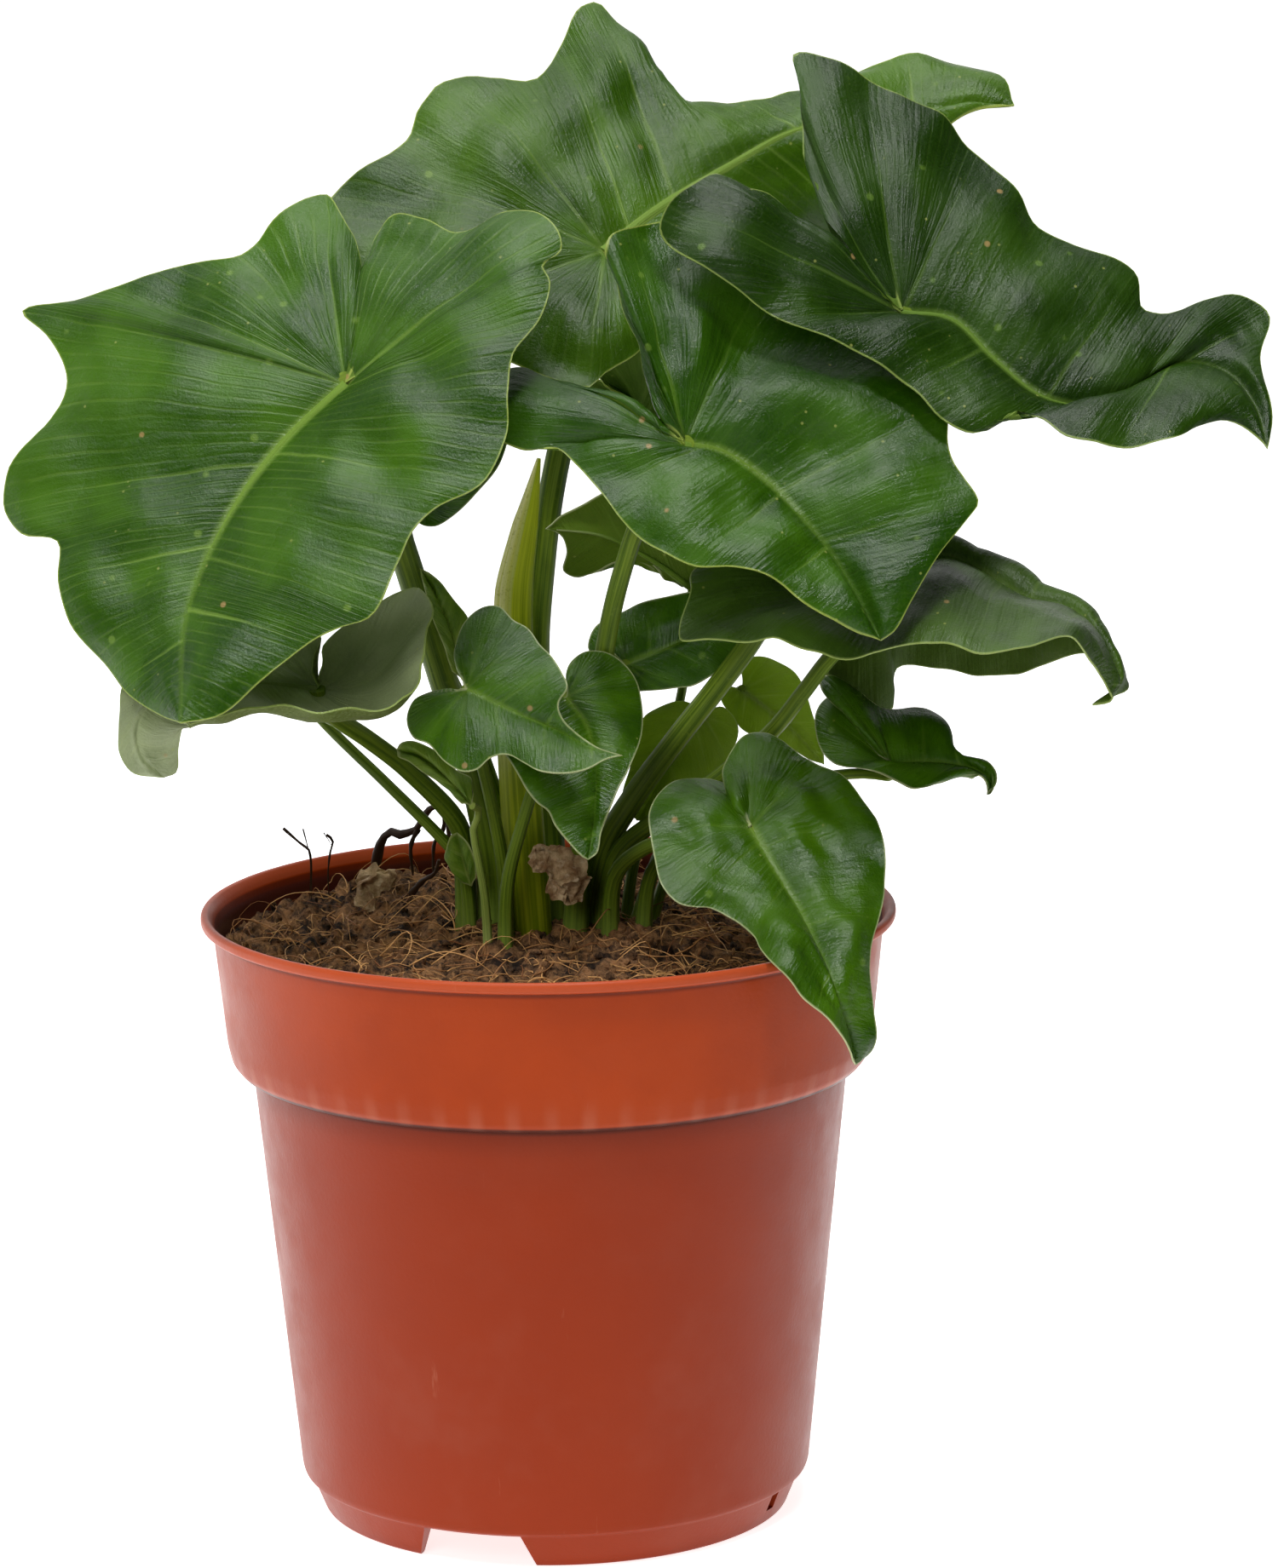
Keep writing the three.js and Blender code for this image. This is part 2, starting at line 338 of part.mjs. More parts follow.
const SPIKE = {
  base: [-3.5, -4.5], path: [[-5.8, 165, -5], [-7, 190, -4], [-7.6, 212, -2], [-7.3, 228, 0], [-5.1, 240.5, 0], [-3, 250, 0], [-0.8, 260.5, 0]],
  radii: [4.6, 5, 5.1, 5, 4.9, 4.8, 4.6, 3.1, 0.5],
};

// Mesh density: cells along the lobe fan, along the rib, and from rib to margin
const DENSITY = {
  large: { fan: 14, rib: 12, across: 4 },
  middle: { fan: 8, rib: 7, across: 3 },
  plain: { fan: 5, rib: 5, across: 2 },
  small: { fan: 3, rib: 4, across: 2 },
};

// Materials
function material(colour, roughness) {
  return new THREE.MeshStandardMaterial({ color: colour, roughness, metalness: 0 });
}
const TERRACOTTA = material(0xa54626, 0.45);
const EARTH = material(0x3a2718, 0.95);
const LEAF_COLOURS = {
  green: material(0x2f6a1c, 0.35),
  dark: material(0x27482a, 0.35),
  fresh: material(0x93a83c, 0.5),
  dry: material(0xa98257, 0.9),
};

// Solids
function positionsOnly(geometry) {
  const bare = new THREE.BufferGeometry();
  bare.setAttribute("position", geometry.getAttribute("position").clone());
  if (geometry.index) {
    bare.setIndex(geometry.index.clone());
  }
  return mergeVertices(bare, 1e-4);
}

function solidOf(geometry) {
  const bare = positionsOnly(geometry);
  return new wasm.Manifold(new wasm.Mesh({
    numProp: 3,
    vertProperties: new Float32Array(bare.getAttribute("position").array),
    triVerts: new Uint32Array(bare.index.array),
  }));
}

function geometryOf(solid) {
  const mesh = solid.getMesh();
  const points = [];
  for (let i = 0; i < mesh.vertProperties.length; i += mesh.numProp) {
    points.push(mesh.vertProperties[i], mesh.vertProperties[i + 1], mesh.vertProperties[i + 2]);
  }
  const geometry = new THREE.BufferGeometry();
  geometry.setAttribute("position", new THREE.Float32BufferAttribute(points, 3));
  geometry.setIndex(tidied(points, Array.from(mesh.triVerts)));
  return geometry;
}

// Joins the ends of edges shorter than LEAST_EDGE, then turns the long edge of each triangle flatter
// than LEAST_HEIGHT, so that a cut leaves no slivers.
function tidied(points, indices) {
  const at = (i) => new THREE.Vector3(points[3 * i], points[3 * i + 1], points[3 * i + 2]);
  const joined = new Map();
  const end = (i) => (joined.has(i) ? end(joined.get(i)) : i);
  for (let i = 0; i < indices.length; i += 3) {
    for (let k = 0; k < 3; k += 1) {
      const [from, to] = [end(indices[i + k]), end(indices[i + (k + 1) % 3])];
      if (from !== to && at(from).distanceTo(at(to)) < LEAST_EDGE) {
        joined.set(to, from);
      }
    }
  }
  let triangles = [];
  for (let i = 0; i < indices.length; i += 3) {
    const [a, b, c] = [end(indices[i]), end(indices[i + 1]), end(indices[i + 2])];
    if (a !== b && b !== c && c !== a) {
      triangles.push([a, b, c]);
    }
  }
  triangles = withoutFolds(triangles);
  for (let round = 0; round < 4; round += 1) {
    turnLongEdges(triangles, at);
  }
  return largestShell(withoutFolds(triangles), at).flat();
}

// Fills sealed hollows and drops loose scraps: only the outer shell of the main body stays.
function largestShell(triangles, at) {
  const parent = triangles.map((_, index) => index);
  const top = (index) => (parent[index] === index ? index : top(parent[index]));
  const sharing = new Map();
  triangles.forEach((corners, index) => {
    corners.forEach((from, k) => {
      const edge = [from, corners[(k + 1) % 3]].sort((a, b) => a - b).join(" ");
      sharing.set(edge, [...(sharing.get(edge) ?? []), index]);
    });
  });
  for (const pair of sharing.values()) {
    if (pair.length === 2) {
      parent[top(pair[1])] = top(pair[0]);
    }
  }
  const shells = new Map();
  triangles.forEach((corners, index) => {
    const shell = shells.get(top(index)) ?? { volume: 0, triangles: [] };
    const [a, b, c] = corners.map(at);
    shell.volume += a.dot(b.cross(c)) / 6;
    shell.triangles.push(corners);
    shells.set(top(index), shell);
  });
  return [...shells.values()].reduce((best, shell) => (shell.volume > best.volume ? shell : best)).triangles;
}

// Drops pairs of triangles that lie back to back on the same corners.
function withoutFolds(triangles) {
  const key = (corners) => [...corners].sort((a, b) => a - b).join(" ");
  const counts = new Map();
  triangles.forEach((corners) => counts.set(key(corners), (counts.get(key(corners)) ?? 0) + 1));
  return triangles.filter((corners) => counts.get(key(corners)) === 1);
}

function turnLongEdges(triangles, at) {
  const owner = new Map();
  const claim = (index) => {
    const [a, b, c] = triangles[index];
    [[a, b], [b, c], [c, a]].forEach(([from, to]) => owner.set(`${from} ${to}`, index));
  };
  triangles.forEach((_, index) => claim(index));
  triangles.forEach((corners, index) => {
    const sides = [0, 1, 2].map((k) => at(corners[k]).distanceTo(at(corners[(k + 1) % 3])));
    const k = sides.indexOf(Math.max(...sides));
    const area = new THREE.Triangle(...corners.map(at)).getArea();
    const [from, to, apex] = [corners[k], corners[(k + 1) % 3], corners[(k + 2) % 3]];
    const other = owner.get(`${to} ${from}`);
    if (2 * area / sides[k] > LEAST_HEIGHT || other === undefined) {
      return;
    }
    const opposite = triangles[other].find((corner) => corner !== from && corner !== to);
    if (owner.has(`${apex} ${opposite}`) || owner.has(`${opposite} ${apex}`)) {
      return;
    }
    owner.delete(`${from} ${to}`);
    owner.delete(`${to} ${from}`);
    triangles[index] = [from, opposite, apex];
    triangles[other] = [opposite, to, apex];
    claim(index);
    claim(other);
  });
}

function cutFrom(geometry, cutters) {
  let solid = solidOf(geometry);
  for (const cutter of cutters) {
    solid = solid.subtract(solidOf(cutter));
  }
  return geometryOf(solid);
}

function meshFromLists(points, triangles) {
  const geometry = new THREE.BufferGeometry();
  geometry.setAttribute("position", new THREE.Float32BufferAttribute(points.flatMap((p) => [p.x, p.y, p.z]), 3));
  geometry.setIndex(triangles.flat());
  return geometry;
}

// Leaf blades
function upperSide(leaf) {
  return new THREE.Vector3(...leaf.face).normalize();
}

function pointOnLeaf(leaf, [right, up, extra = 0]) {
  const [jRight, jUp, jDepth] = leaf.at;
  const lean = leaf.lean ?? [leaf.face[0] / -leaf.face[1], leaf.face[2] / -leaf.face[1]];
  return placed(right, up, jDepth + lean[0] * (right - jRight) + lean[1] * (up - jUp) + extra);
}

function smoothCurve(points) {
  return new THREE.CatmullRomCurve3(points, false, "centripetal");
}

// Splits the stretch of a drawn curve between two of its points into `count` steps: at the drawn
// points, less the flattest of them, or with the longest steps halved.
function stepsAlong(curve, first, last, count) {
  const drawn = curve.points.length - 1;
  const spots = [];
  for (let i = first; i <= last; i += 1) {
    spots.push(i / drawn);
  }
  const area = (i) => new THREE.Triangle(...[i - 1, i, i + 1].map((k) => curve.getPoint(spots[k]))).getArea();
  while (spots.length - 1 > count) {
    const inner = spots.map((_, i) => i).slice(1, -1);
    const flattest = inner.reduce((best, i) => (area(i) < area(best) ? i : best));
    spots.splice(flattest, 1);
  }
  const step = (i) => curve.getPoint(spots[i]).distanceTo(curve.getPoint(spots[i + 1]));
  while (spots.length - 1 < count) {
    const steps = spots.map((_, i) => i).slice(0, -1);
    const longest = steps.reduce((best, i) => (step(i) > step(best) ? i : best));
    spots.splice(longest + 1, 0, (spots[longest] + spots[longest + 1]) / 2);
  }
  return spots;
}

function marginOf(leaf, side, tip, fanSteps, ribSteps) {
  const half = leaf.halves[side];
  const curve = smoothCurve([...half.map((p) => pointOnLeaf(leaf, p)), tip]);
  const bends = [...half.map((p) => p[3] ?? 0), 0];
  const drawn = half.length;
  const split = Math.round(curve.getUtoTmapping(leaf.fan[side]) * drawn);
  const spots = [
    ...stepsAlong(curve, 0, split, fanSteps).slice(0, -1),
    ...stepsAlong(curve, split, drawn, ribSteps),
  ];
  return spots.map((t) => {
    const before = Math.min(Math.floor(t * drawn), drawn - 1);
    const bend = THREE.MathUtils.lerp(bends[before], bends[before + 1], t * drawn - before);
    return { point: curve.getPoint(t), bend };
  });
}

// A vein runs from the rib to the margin as a curve that bulges towards the upper side.
function veinPoint(start, end, bend, arch, upper, share) {
  const span = end.clone().sub(start);
  const sideways = new THREE.Vector3().crossVectors(upper, span).normalize();
  const control = start.clone().lerp(end, 0.5)
    .addScaledVector(upper, arch * span.length())
    .addScaledVector(sideways, bend);
  return new THREE.QuadraticBezierCurve3(start, control, end).getPoint(share);
}

function bladeSheet(leaf) {
  const { fan, rib, across } = DENSITY[leaf.size];
  const upper = upperSide(leaf);
  const junction = placed(...leaf.at);
  const ribPoints = [junction, ...leaf.rib.map((p) => pointOnLeaf(leaf, p))];
  const ribCurve = smoothCurve(ribPoints);
  const tip = ribPoints[ribPoints.length - 1];
  const points = [];
  for (let k = 0; k <= rib; k += 1) {
    points.push(ribCurve.getPointAt(k / rib));
  }
  const triangles = [];
  for (const side of [0, 1]) {
    const margin = marginOf(leaf, side, tip, fan, rib);
    const rows = [];
    for (let i = 0; i < fan + rib; i += 1) {
      const station = Math.max(0, i - fan);
      const { point, bend } = margin[i];
      const sideBend = side === 0 ? bend : -bend;
      const row = [station];
      for (let j = 1; j <= across; j += 1) {
        points.push(veinPoint(points[station], point, sideBend, leaf.arch[side], upper, j / across));
        row.push(points.length - 1);
      }
      rows.push(row);
    }
    rows.push(new Array(across + 1).fill(rib));
    for (let i = 0; i + 1 < rows.length; i += 1) {
      for (let j = 0; j < across; j += 1) {
        const corners = [rows[i][j], rows[i + 1][j], rows[i + 1][j + 1], rows[i][j + 1]];
        for (const [a, b, c] of [[corners[0], corners[1], corners[2]], [corners[0], corners[2], corners[3]]]) {
          if (a !== b && b !== c && a !== c) {
            triangles.push(side === 0 ? [a, b, c] : [a, c, b]);
          }
        }
      }
    }
  }
  return { points, triangles };
}

function sheetNormals(points, triangles) {
  const normals = points.map(() => new THREE.Vector3());
  for (const [a, b, c] of triangles) {
    const face = new THREE.Vector3()
      .crossVectors(points[b].clone().sub(points[a]), points[c].clone().sub(points[a]));
    [a, b, c].forEach((corner) => normals[corner].add(face));
  }
  return normals.map((normal) => normal.normalize());
}

// Closes a sheet into a solid of even thickness, with the same triangles on both faces.
function thicken({ points, triangles }, upper, thickness) {
  let faces = triangles;
  let normals = sheetNormals(points, faces);
  const total = normals.reduce((sum, normal) => sum + normal.dot(upper), 0);
  if (total < 0) {
    faces = faces.map(([a, b, c]) => [a, c, b]);
    normals = normals.map((normal) => normal.negate());
  }
  const count = points.length;
  const top = points.map((p, i) => p.clone().addScaledVector(normals[i], thickness / 2));
  const bottom = points.map((p, i) => p.clone().addScaledVector(normals[i], -thickness / 2));
  const solid = [...faces, ...faces.map(([a, b, c]) => [a + count, c + count, b + count])];
  const edges = new Map();
  for (const [a, b, c] of faces) {
    for (const [from, to] of [[a, b], [b, c], [c, a]]) {
      edges.set(`${from} ${to}`, [from, to]);
    }
  }
  for (const [from, to] of edges.values()) {
    if (!edges.has(`${to} ${from}`)) {
      solid.push([to, from, from + count], [to, from + count, to + count]);
    }
  }
  return meshFromLists([...top, ...bottom], solid);
}

function bladeGeometry(leaf) {
  return thicken(bladeSheet(leaf), upperSide(leaf), BLADE_THICKNESS);
}

// A whole leaf: the blade with its stalk grown into the junction
function leafGeometry(leaf) {
  return geometryOf(solidOf(bladeGeometry(leaf)).add(solidOf(stalkGeometry(leaf))));
}

// Round stalks that taper along a curve
function taperedTube(points, radiusAt, steps, sides, extra) {
  const curve = smoothCurve(points);
  const frames = curve.computeFrenetFrames(steps, false);
  const rings = [];
  const triangles = [];
  for (let i = 0; i <= steps; i += 1) {
    const centre = curve.getPointAt(i / steps);
    centre.z -= i === 0 ? extra : 0;
    const radius = radiusAt(i / steps) + extra;
    for (let j = 0; j < sides; j += 1) {
      const angle = 2 * Math.PI * j / sides;
      rings.push(centre.clone()
        .addScaledVector(frames.normals[i], radius * Math.cos(angle))
        .addScaledVector(frames.binormals[i], radius * Math.sin(angle)));
    }
  }
  for (let i = 0; i < steps; i += 1) {
    for (let j = 0; j < sides; j += 1) {
      const here = i * sides + j;
      const next = i * sides + (j + 1) % sides;
      triangles.push([here, next, next + sides], [here, next + sides, here + sides]);
    }
  }
  const last = steps * sides;
  for (let j = 1; j + 1 < sides; j += 1) {
    triangles.push([0, j + 1, j], [last, last + j, last + j + 1]);
  }
  return meshFromLists(rings, triangles);
}

function stalkPoints(leaf) {
  const { base, path } = leaf.stalk;
  const junction = placed(...leaf.at);
  const upper = upperSide(leaf);
  return [
    new THREE.Vector3(base[0], base[1], STALK_ROOT),
    new THREE.Vector3(base[0], base[1], STALK_ROOT + 10),
    ...path.map((p) => placed(...p)),
    junction.clone().addScaledVector(upper, -5),
    junction.clone().addScaledVector(upper, 0.05),
  ];
}

function stalkGeometry(leaf, extra = 0) {
  const points = stalkPoints(leaf);
  const [atBase, atBlade] = leaf.stalk.radius;
  const steps = Math.max(7, Math.round(smoothCurve(points).getLength() / 15));
  const radiusAt = (share) => THREE.MathUtils.lerp(atBase, atBlade, Math.sqrt(share));
  return taperedTube(points, radiusAt, steps, STALK_SIDES, extra);
}

function spikeGeometry(extra = 0) {
  const { base, path, radii } = SPIKE;
  const points = [new THREE.Vector3(base[0], base[1], STALK_ROOT), ...path.map((p) => placed(...p))];
  const radiusAt = (share) => {
    const spot = Math.min(share * (radii.length - 1), radii.length - 1.001);
    const before = Math.floor(spot);
    return THREE.MathUtils.lerp(radii[before], radii[before + 1], spot - before);
  };
  return taperedTube(points, radiusAt, 12, 10, extra);
}

// Pot
function lathed(profile, sides) {
  const geometry = new THREE.LatheGeometry(profile.map(([r, z]) => new THREE.Vector2(r, z)), sides);
  geometry.rotateX(Math.PI / 2);
  return outward(positionsOnly(geometry));
}

function signedVolume(geometry) {
  const position = geometry.getAttribute("position");
  const [a, b, c] = [new THREE.Vector3(), new THREE.Vector3(), new THREE.Vector3()];
  let volume = 0;
  for (let i = 0; i < geometry.index.count; i += 3) {
    a.fromBufferAttribute(position, geometry.index.getX(i));
    b.fromBufferAttribute(position, geometry.index.getX(i + 1));
    c.fromBufferAttribute(position, geometry.index.getX(i + 2));
    volume += a.dot(b.cross(c)) / 6;
  }
  return volume;
}

// Drops flat triangles on the axis and turns the faces outward.
function outward(geometry) {
  const kept = [];
  const index = geometry.index.array;
  for (let i = 0; i < index.length; i += 3) {
    const [a, b, c] = [index[i], index[i + 1], index[i + 2]];
    if (a !== b && b !== c && a !== c) {
      kept.push([a, b, c]);
    }
  }
  geometry.setIndex(kept.flat());
  if (signedVolume(geometry) < 0) {
    geometry.setIndex(kept.map(([a, b, c]) => [a, c, b]).flat());
  }
  return geometry;
}

const POT_OUTSIDE = [
  [FOOT_RADIUS - 2.5, FOOT_TOP], [FOOT_RADIUS - 2.5, 0], [FOOT_RADIUS, 0], [61, FOOT_TOP - 0.4], [62.4, FOOT_TOP],
  [62.9, FOOT_TOP + 1.5], [73.1, COLLAR_BOTTOM], [76.6, COLLAR_BOTTOM], [78.2, COLLAR_BOTTOM + 2],
  [79.1, COLLAR_BOTTOM + 6], [81.9, 145], [84.2, 146.4], [RIM_RADIUS, 147.4], [RIM_RADIUS, 149.2], [84.5, POT_HEIGHT],
];
const POT_INSIDE = [
  [83.4, POT_HEIGHT], [82.2, 148.6], [81.9 - WALL, 144.8], [78.6 - WALL, COLLAR_BOTTOM + 3.5], [73.1 - WALL, COLLAR_BOTTOM - 0.6], [62.9 - WALL, FOOT_TOP + WALL + 2],
  [60.6, FOOT_TOP + WALL],
];

// Notches in the foot are wider at the ground, so that the pot lifts from its mould.
function notchCutter(angle) {
  const half = FOOT_RADIUS * Math.tan(THREE.MathUtils.degToRad(NOTCH_WIDTH / 2));
  const top = FOOT_TOP - 0.6;
  const outline = new THREE.Shape([
    new THREE.Vector2(-half - 1.5, -1), new THREE.Vector2(half + 1.5, -1),
    new THREE.Vector2(half - 1.5, top), new THREE.Vector2(-half + 1.5, top),
  ]);
  const wedge = new THREE.ExtrudeGeometry(outline, { depth: 14, bevelEnabled: false });
  wedge.rotateX(Math.PI / 2);
  wedge.translate(0, -FOOT_RADIUS + 7, 0);
  wedge.rotateZ(THREE.MathUtils.degToRad(angle));
  return wedge;
}

function windowCutter(angle) {
  const [width, height] = WINDOW_SIZE;
  const box = new THREE.BoxGeometry(width, 14, height);
  box.translate(0, -FOOT_RADIUS, FOOT_TOP - 1 - height / 2);
  box.rotateZ(THREE.MathUtils.degToRad(angle));
  return box;
}

function drainCutter(angle) {
  const cylinder = new THREE.CylinderGeometry(DRAIN_RADIUS, DRAIN_RADIUS, 3 * WALL + 2, 10);
  cylinder.rotateX(Math.PI / 2);
  cylinder.translate(0, -DRAIN_RING, FOOT_TOP + WALL / 2);
  cylinder.rotateZ(THREE.MathUtils.degToRad(angle));
  return cylinder;
}

function evenAngles(count, first) {
  return Array.from({ length: count }, (_, i) => first + i * 360 / count);
}

function potGeometry() {
  const profile = [[0, FOOT_TOP], ...POT_OUTSIDE, ...POT_INSIDE, [0, FOOT_TOP + WALL]];
  const cutters = [
    ...evenAngles(NOTCH_COUNT, NOTCH_ANGLE).map(notchCutter),
    ...evenAngles(WINDOW_COUNT, WINDOW_ANGLE).map(windowCutter),
    ...evenAngles(DRAIN_COUNT, NOTCH_ANGLE).map(drainCutter),
  ];
  return cutFrom(lathed(profile, POT_SIDES), cutters);
}

// Soil: fills the pot to just under the rim, with a low heap around the stalks and soft lumps.
function soilRise(x, y) {
  const heap = SOIL_HEAP * Math.exp(-((x - 2) ** 2 + y ** 2) / (2 * 30 ** 2));
  const lumps = 0.9 * Math.sin(x / 7 + 1) * Math.sin(y / 8) + 0.5 * Math.sin(x / 3.4 - y / 4.1);
  return heap + lumps;
}

function soilGeometry(cutters) {
  const wall = POT_INSIDE.slice(2).map(([r, z]) => [r - GAP - 0.15, Math.min(z, SOIL_EDGE - 0.5)]).reverse();
  const below = wall.map(([r, z], i) => [r, i === 0 ? FOOT_TOP + WALL + GAP : z]);
  const edgeRadius = below[below.length - 1][0] - 0.4;
  below[below.length - 1] = [edgeRadius, SOIL_EDGE - 1.5];
  const rings = [72, 62, 52, 42, 32, 22, 12];
  const profile = [[0, FOOT_TOP + WALL + GAP], ...below, ...rings.map((r) => [r, SOIL_EDGE]), [0, SOIL_EDGE]];
  const geometry = lathed(profile, 34);
  const position = geometry.getAttribute("position");
  for (let i = 0; i < position.count; i += 1) {
    if (position.getZ(i) > SOIL_EDGE - 0.01) {
      position.setZ(i, SOIL_EDGE + soilRise(position.getX(i), position.getY(i)));
    }
  }
  return cutFrom(geometry, cutters);
}

// Assembly
const plant = new THREE.Group();

function add(name, geometry, finish) {
  const mesh = new THREE.Mesh(geometry, finish);
  mesh.name = name;
  plant.add(mesh);
}

const stalkHoles = [...Object.values(LEAVES).map((leaf) => stalkGeometry(leaf, HOLE_GAP)), spikeGeometry(HOLE_GAP)];
add("pot", potGeometry(), TERRACOTTA);
add("soil", soilGeometry(stalkHoles), EARTH);
for (const [name, leaf] of Object.entries(LEAVES)) {
  add(name, leafGeometry(leaf), LEAF_COLOURS[leaf.colour ?? "green"]);
}
for (const [name, scale] of Object.entries(SCALES)) {
  add(name, bladeGeometry(scale), LEAF_COLOURS[scale.colour]);
}
add("new_leaf", spikeGeometry(), LEAF_COLOURS.fresh);

// The origin is the middle of the whole plant's footprint, on the ground; the pot stands beside it.
const box = new THREE.Box3().setFromObject(plant);
plant.position.set(-(box.min.x + box.max.x) / 2, -(box.min.y + box.max.y) / 2, 0);

export default plant;
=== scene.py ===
# Looks of the potted Atom philodendron: finer leaves with veins and waves, stalks, soil with coir fibres
# and a smooth pot, all in the frame of the CAD model.
# Lengths are in millimetres and measured from the middle of the pot's foot, as in the part's source;
# new_object turns them into metres in the row frame. Materials, floor and lights are in metres.

import math

import bpy
import numpy as np
from mathutils import Matrix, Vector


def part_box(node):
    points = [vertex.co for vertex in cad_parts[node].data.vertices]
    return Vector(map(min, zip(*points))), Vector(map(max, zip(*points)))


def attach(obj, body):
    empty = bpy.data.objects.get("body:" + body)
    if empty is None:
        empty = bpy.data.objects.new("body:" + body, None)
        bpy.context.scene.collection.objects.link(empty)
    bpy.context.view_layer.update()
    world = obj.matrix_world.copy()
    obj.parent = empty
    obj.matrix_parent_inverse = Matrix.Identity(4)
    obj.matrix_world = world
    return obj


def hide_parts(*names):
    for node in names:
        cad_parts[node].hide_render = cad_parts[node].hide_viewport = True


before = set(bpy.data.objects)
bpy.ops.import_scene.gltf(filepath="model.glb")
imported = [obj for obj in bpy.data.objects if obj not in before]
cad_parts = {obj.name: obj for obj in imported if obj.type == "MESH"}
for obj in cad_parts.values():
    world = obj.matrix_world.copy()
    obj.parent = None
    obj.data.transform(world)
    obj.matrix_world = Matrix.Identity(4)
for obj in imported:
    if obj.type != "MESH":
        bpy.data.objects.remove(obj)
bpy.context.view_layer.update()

# The frame
POT_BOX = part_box("pot")
AXIS_X = 500 * (POT_BOX[0].x + POT_BOX[1].x)

# Camera: distances in mm, turn in radians, far end of sight in metres
VIEW_DISTANCE = 1500
VIEW_HEIGHT = 480
AIM_RIGHT = 22.5
AIM_HEIGHT = 180
ROLL = -0.011
FOCAL_PIXELS = 7364
PHOTO_HEIGHT = 1841
SENSOR = 36
FAR_END = 100

# Pot
RIM_RADIUS = 85
POT_HEIGHT = 150.1
WALL = 1.3
COLLAR_BOTTOM = 112.2
LIP_BOTTOM = 147.3
FOOT_TOP = 9
FOOT_RADIUS = 57.5
POT_SIDES = 240
NOTCH_COUNT = 3
NOTCH_ANGLE = -20
NOTCH_WIDTH = 27
NOTCH_SLANT = 1.5
SLOT_REACH = 7
WINDOW_COUNT = 2
WINDOW_ANGLE = 62
WINDOW_SIZE = (3.6, 4.2)
DRAIN_COUNT = 6
DRAIN_RADIUS = 4.5
DRAIN_RING = 46
DRAIN_SIDES = 24
CORNER_RADIUS = 0.7
SHARP_ANGLE = 35
COLLAR_MARKS = 55
# Middle of the collar's wall: its radius at height 0 and how it grows with height
COLLAR_START = 66.75
COLLAR_SLOPE = 0.1045

# Soil
SOIL_EDGE = 140.5
SOIL_RADIUS = 79.6
SOIL_HEAP = 4.5
SOIL_RINGS = 95
SOIL_SIDES = 300
CRUMB_COUNT = 2400
FIBRE_COUNT = 760
FIBRE_SIDES = 5
ROOT_SIDES = 8
# Height at which the stalks start, below the soil's surface
STALK_ROOT = 131

# Leaves
BLADE_THICKNESS = 0.7
STALK_SIDES = 20
RIB_SIDES = 10
SHEATH_SIDES = 36
# Fine veins from one main vein to the next
FINE_LINES = 11
# Veins in the fan of each half, veins along the rib, rows from vein to vein, cells from rib to margin
DETAIL = {
    "large": (7, 7, 10, 32),
    "middle": (5, 6, 8, 22),
    "plain": (4, 5, 6, 14),
    "small": (3, 4, 5, 10),
}
RIB_WIDTH = {"large": 1.9, "middle": 1.4, "plain": 1.3, "small": 0.8}

# Each leaf, as a viewer in front of the plant sees it: mm right of the pot's axis, mm up, mm of depth.
#   at       junction of blade and stalk
#   face     direction that the upper side faces; it also sets how depth grows to the right and up
#   lean     depth gained per mm to the right and up, where it isn't the face's own
#   size     how finely the blade is divided, see DETAIL; rib_width: width of the midrib, where it
#            isn't the one that RIB_WIDTH gives
#   colour   tone of the leaf, which names its look and its materials
#   arch     how far each half bulges, as a share of its width
#   fan      share of each margin whose veins start at the junction
#   rib      midrib after the junction, the tip last: right, up, extra depth where there is any
#   first    margin of one half, from the sinus round to the tip; a fourth number bends the vein sideways
#   second   margin of the other half
#   veins    margin points where the main veins end, where they aren't evenly spaced
#   sweep    above 1 the veins lean towards the tip
#   cushion  height of the soft cushions between the veins, as a share of their spacing
#   relief   strength of veins and waves; pucker and crumple: height of small dents all over
#   dents    single dents and swellings: right, up, radius, height
#   base     the stalk's x and y in the soil; radius: its radius at the soil and at the blade
#   path     points on the stalk's way up
LEAF_DEFAULTS = {
    "arch": [0.1, 0.1], "fan": [0.45, 0.45], "colour": "green", "cushion": 0.04, "sweep": 1, "relief": 1,
    "pucker": 0, "crumple": 0, "dents": [],
}
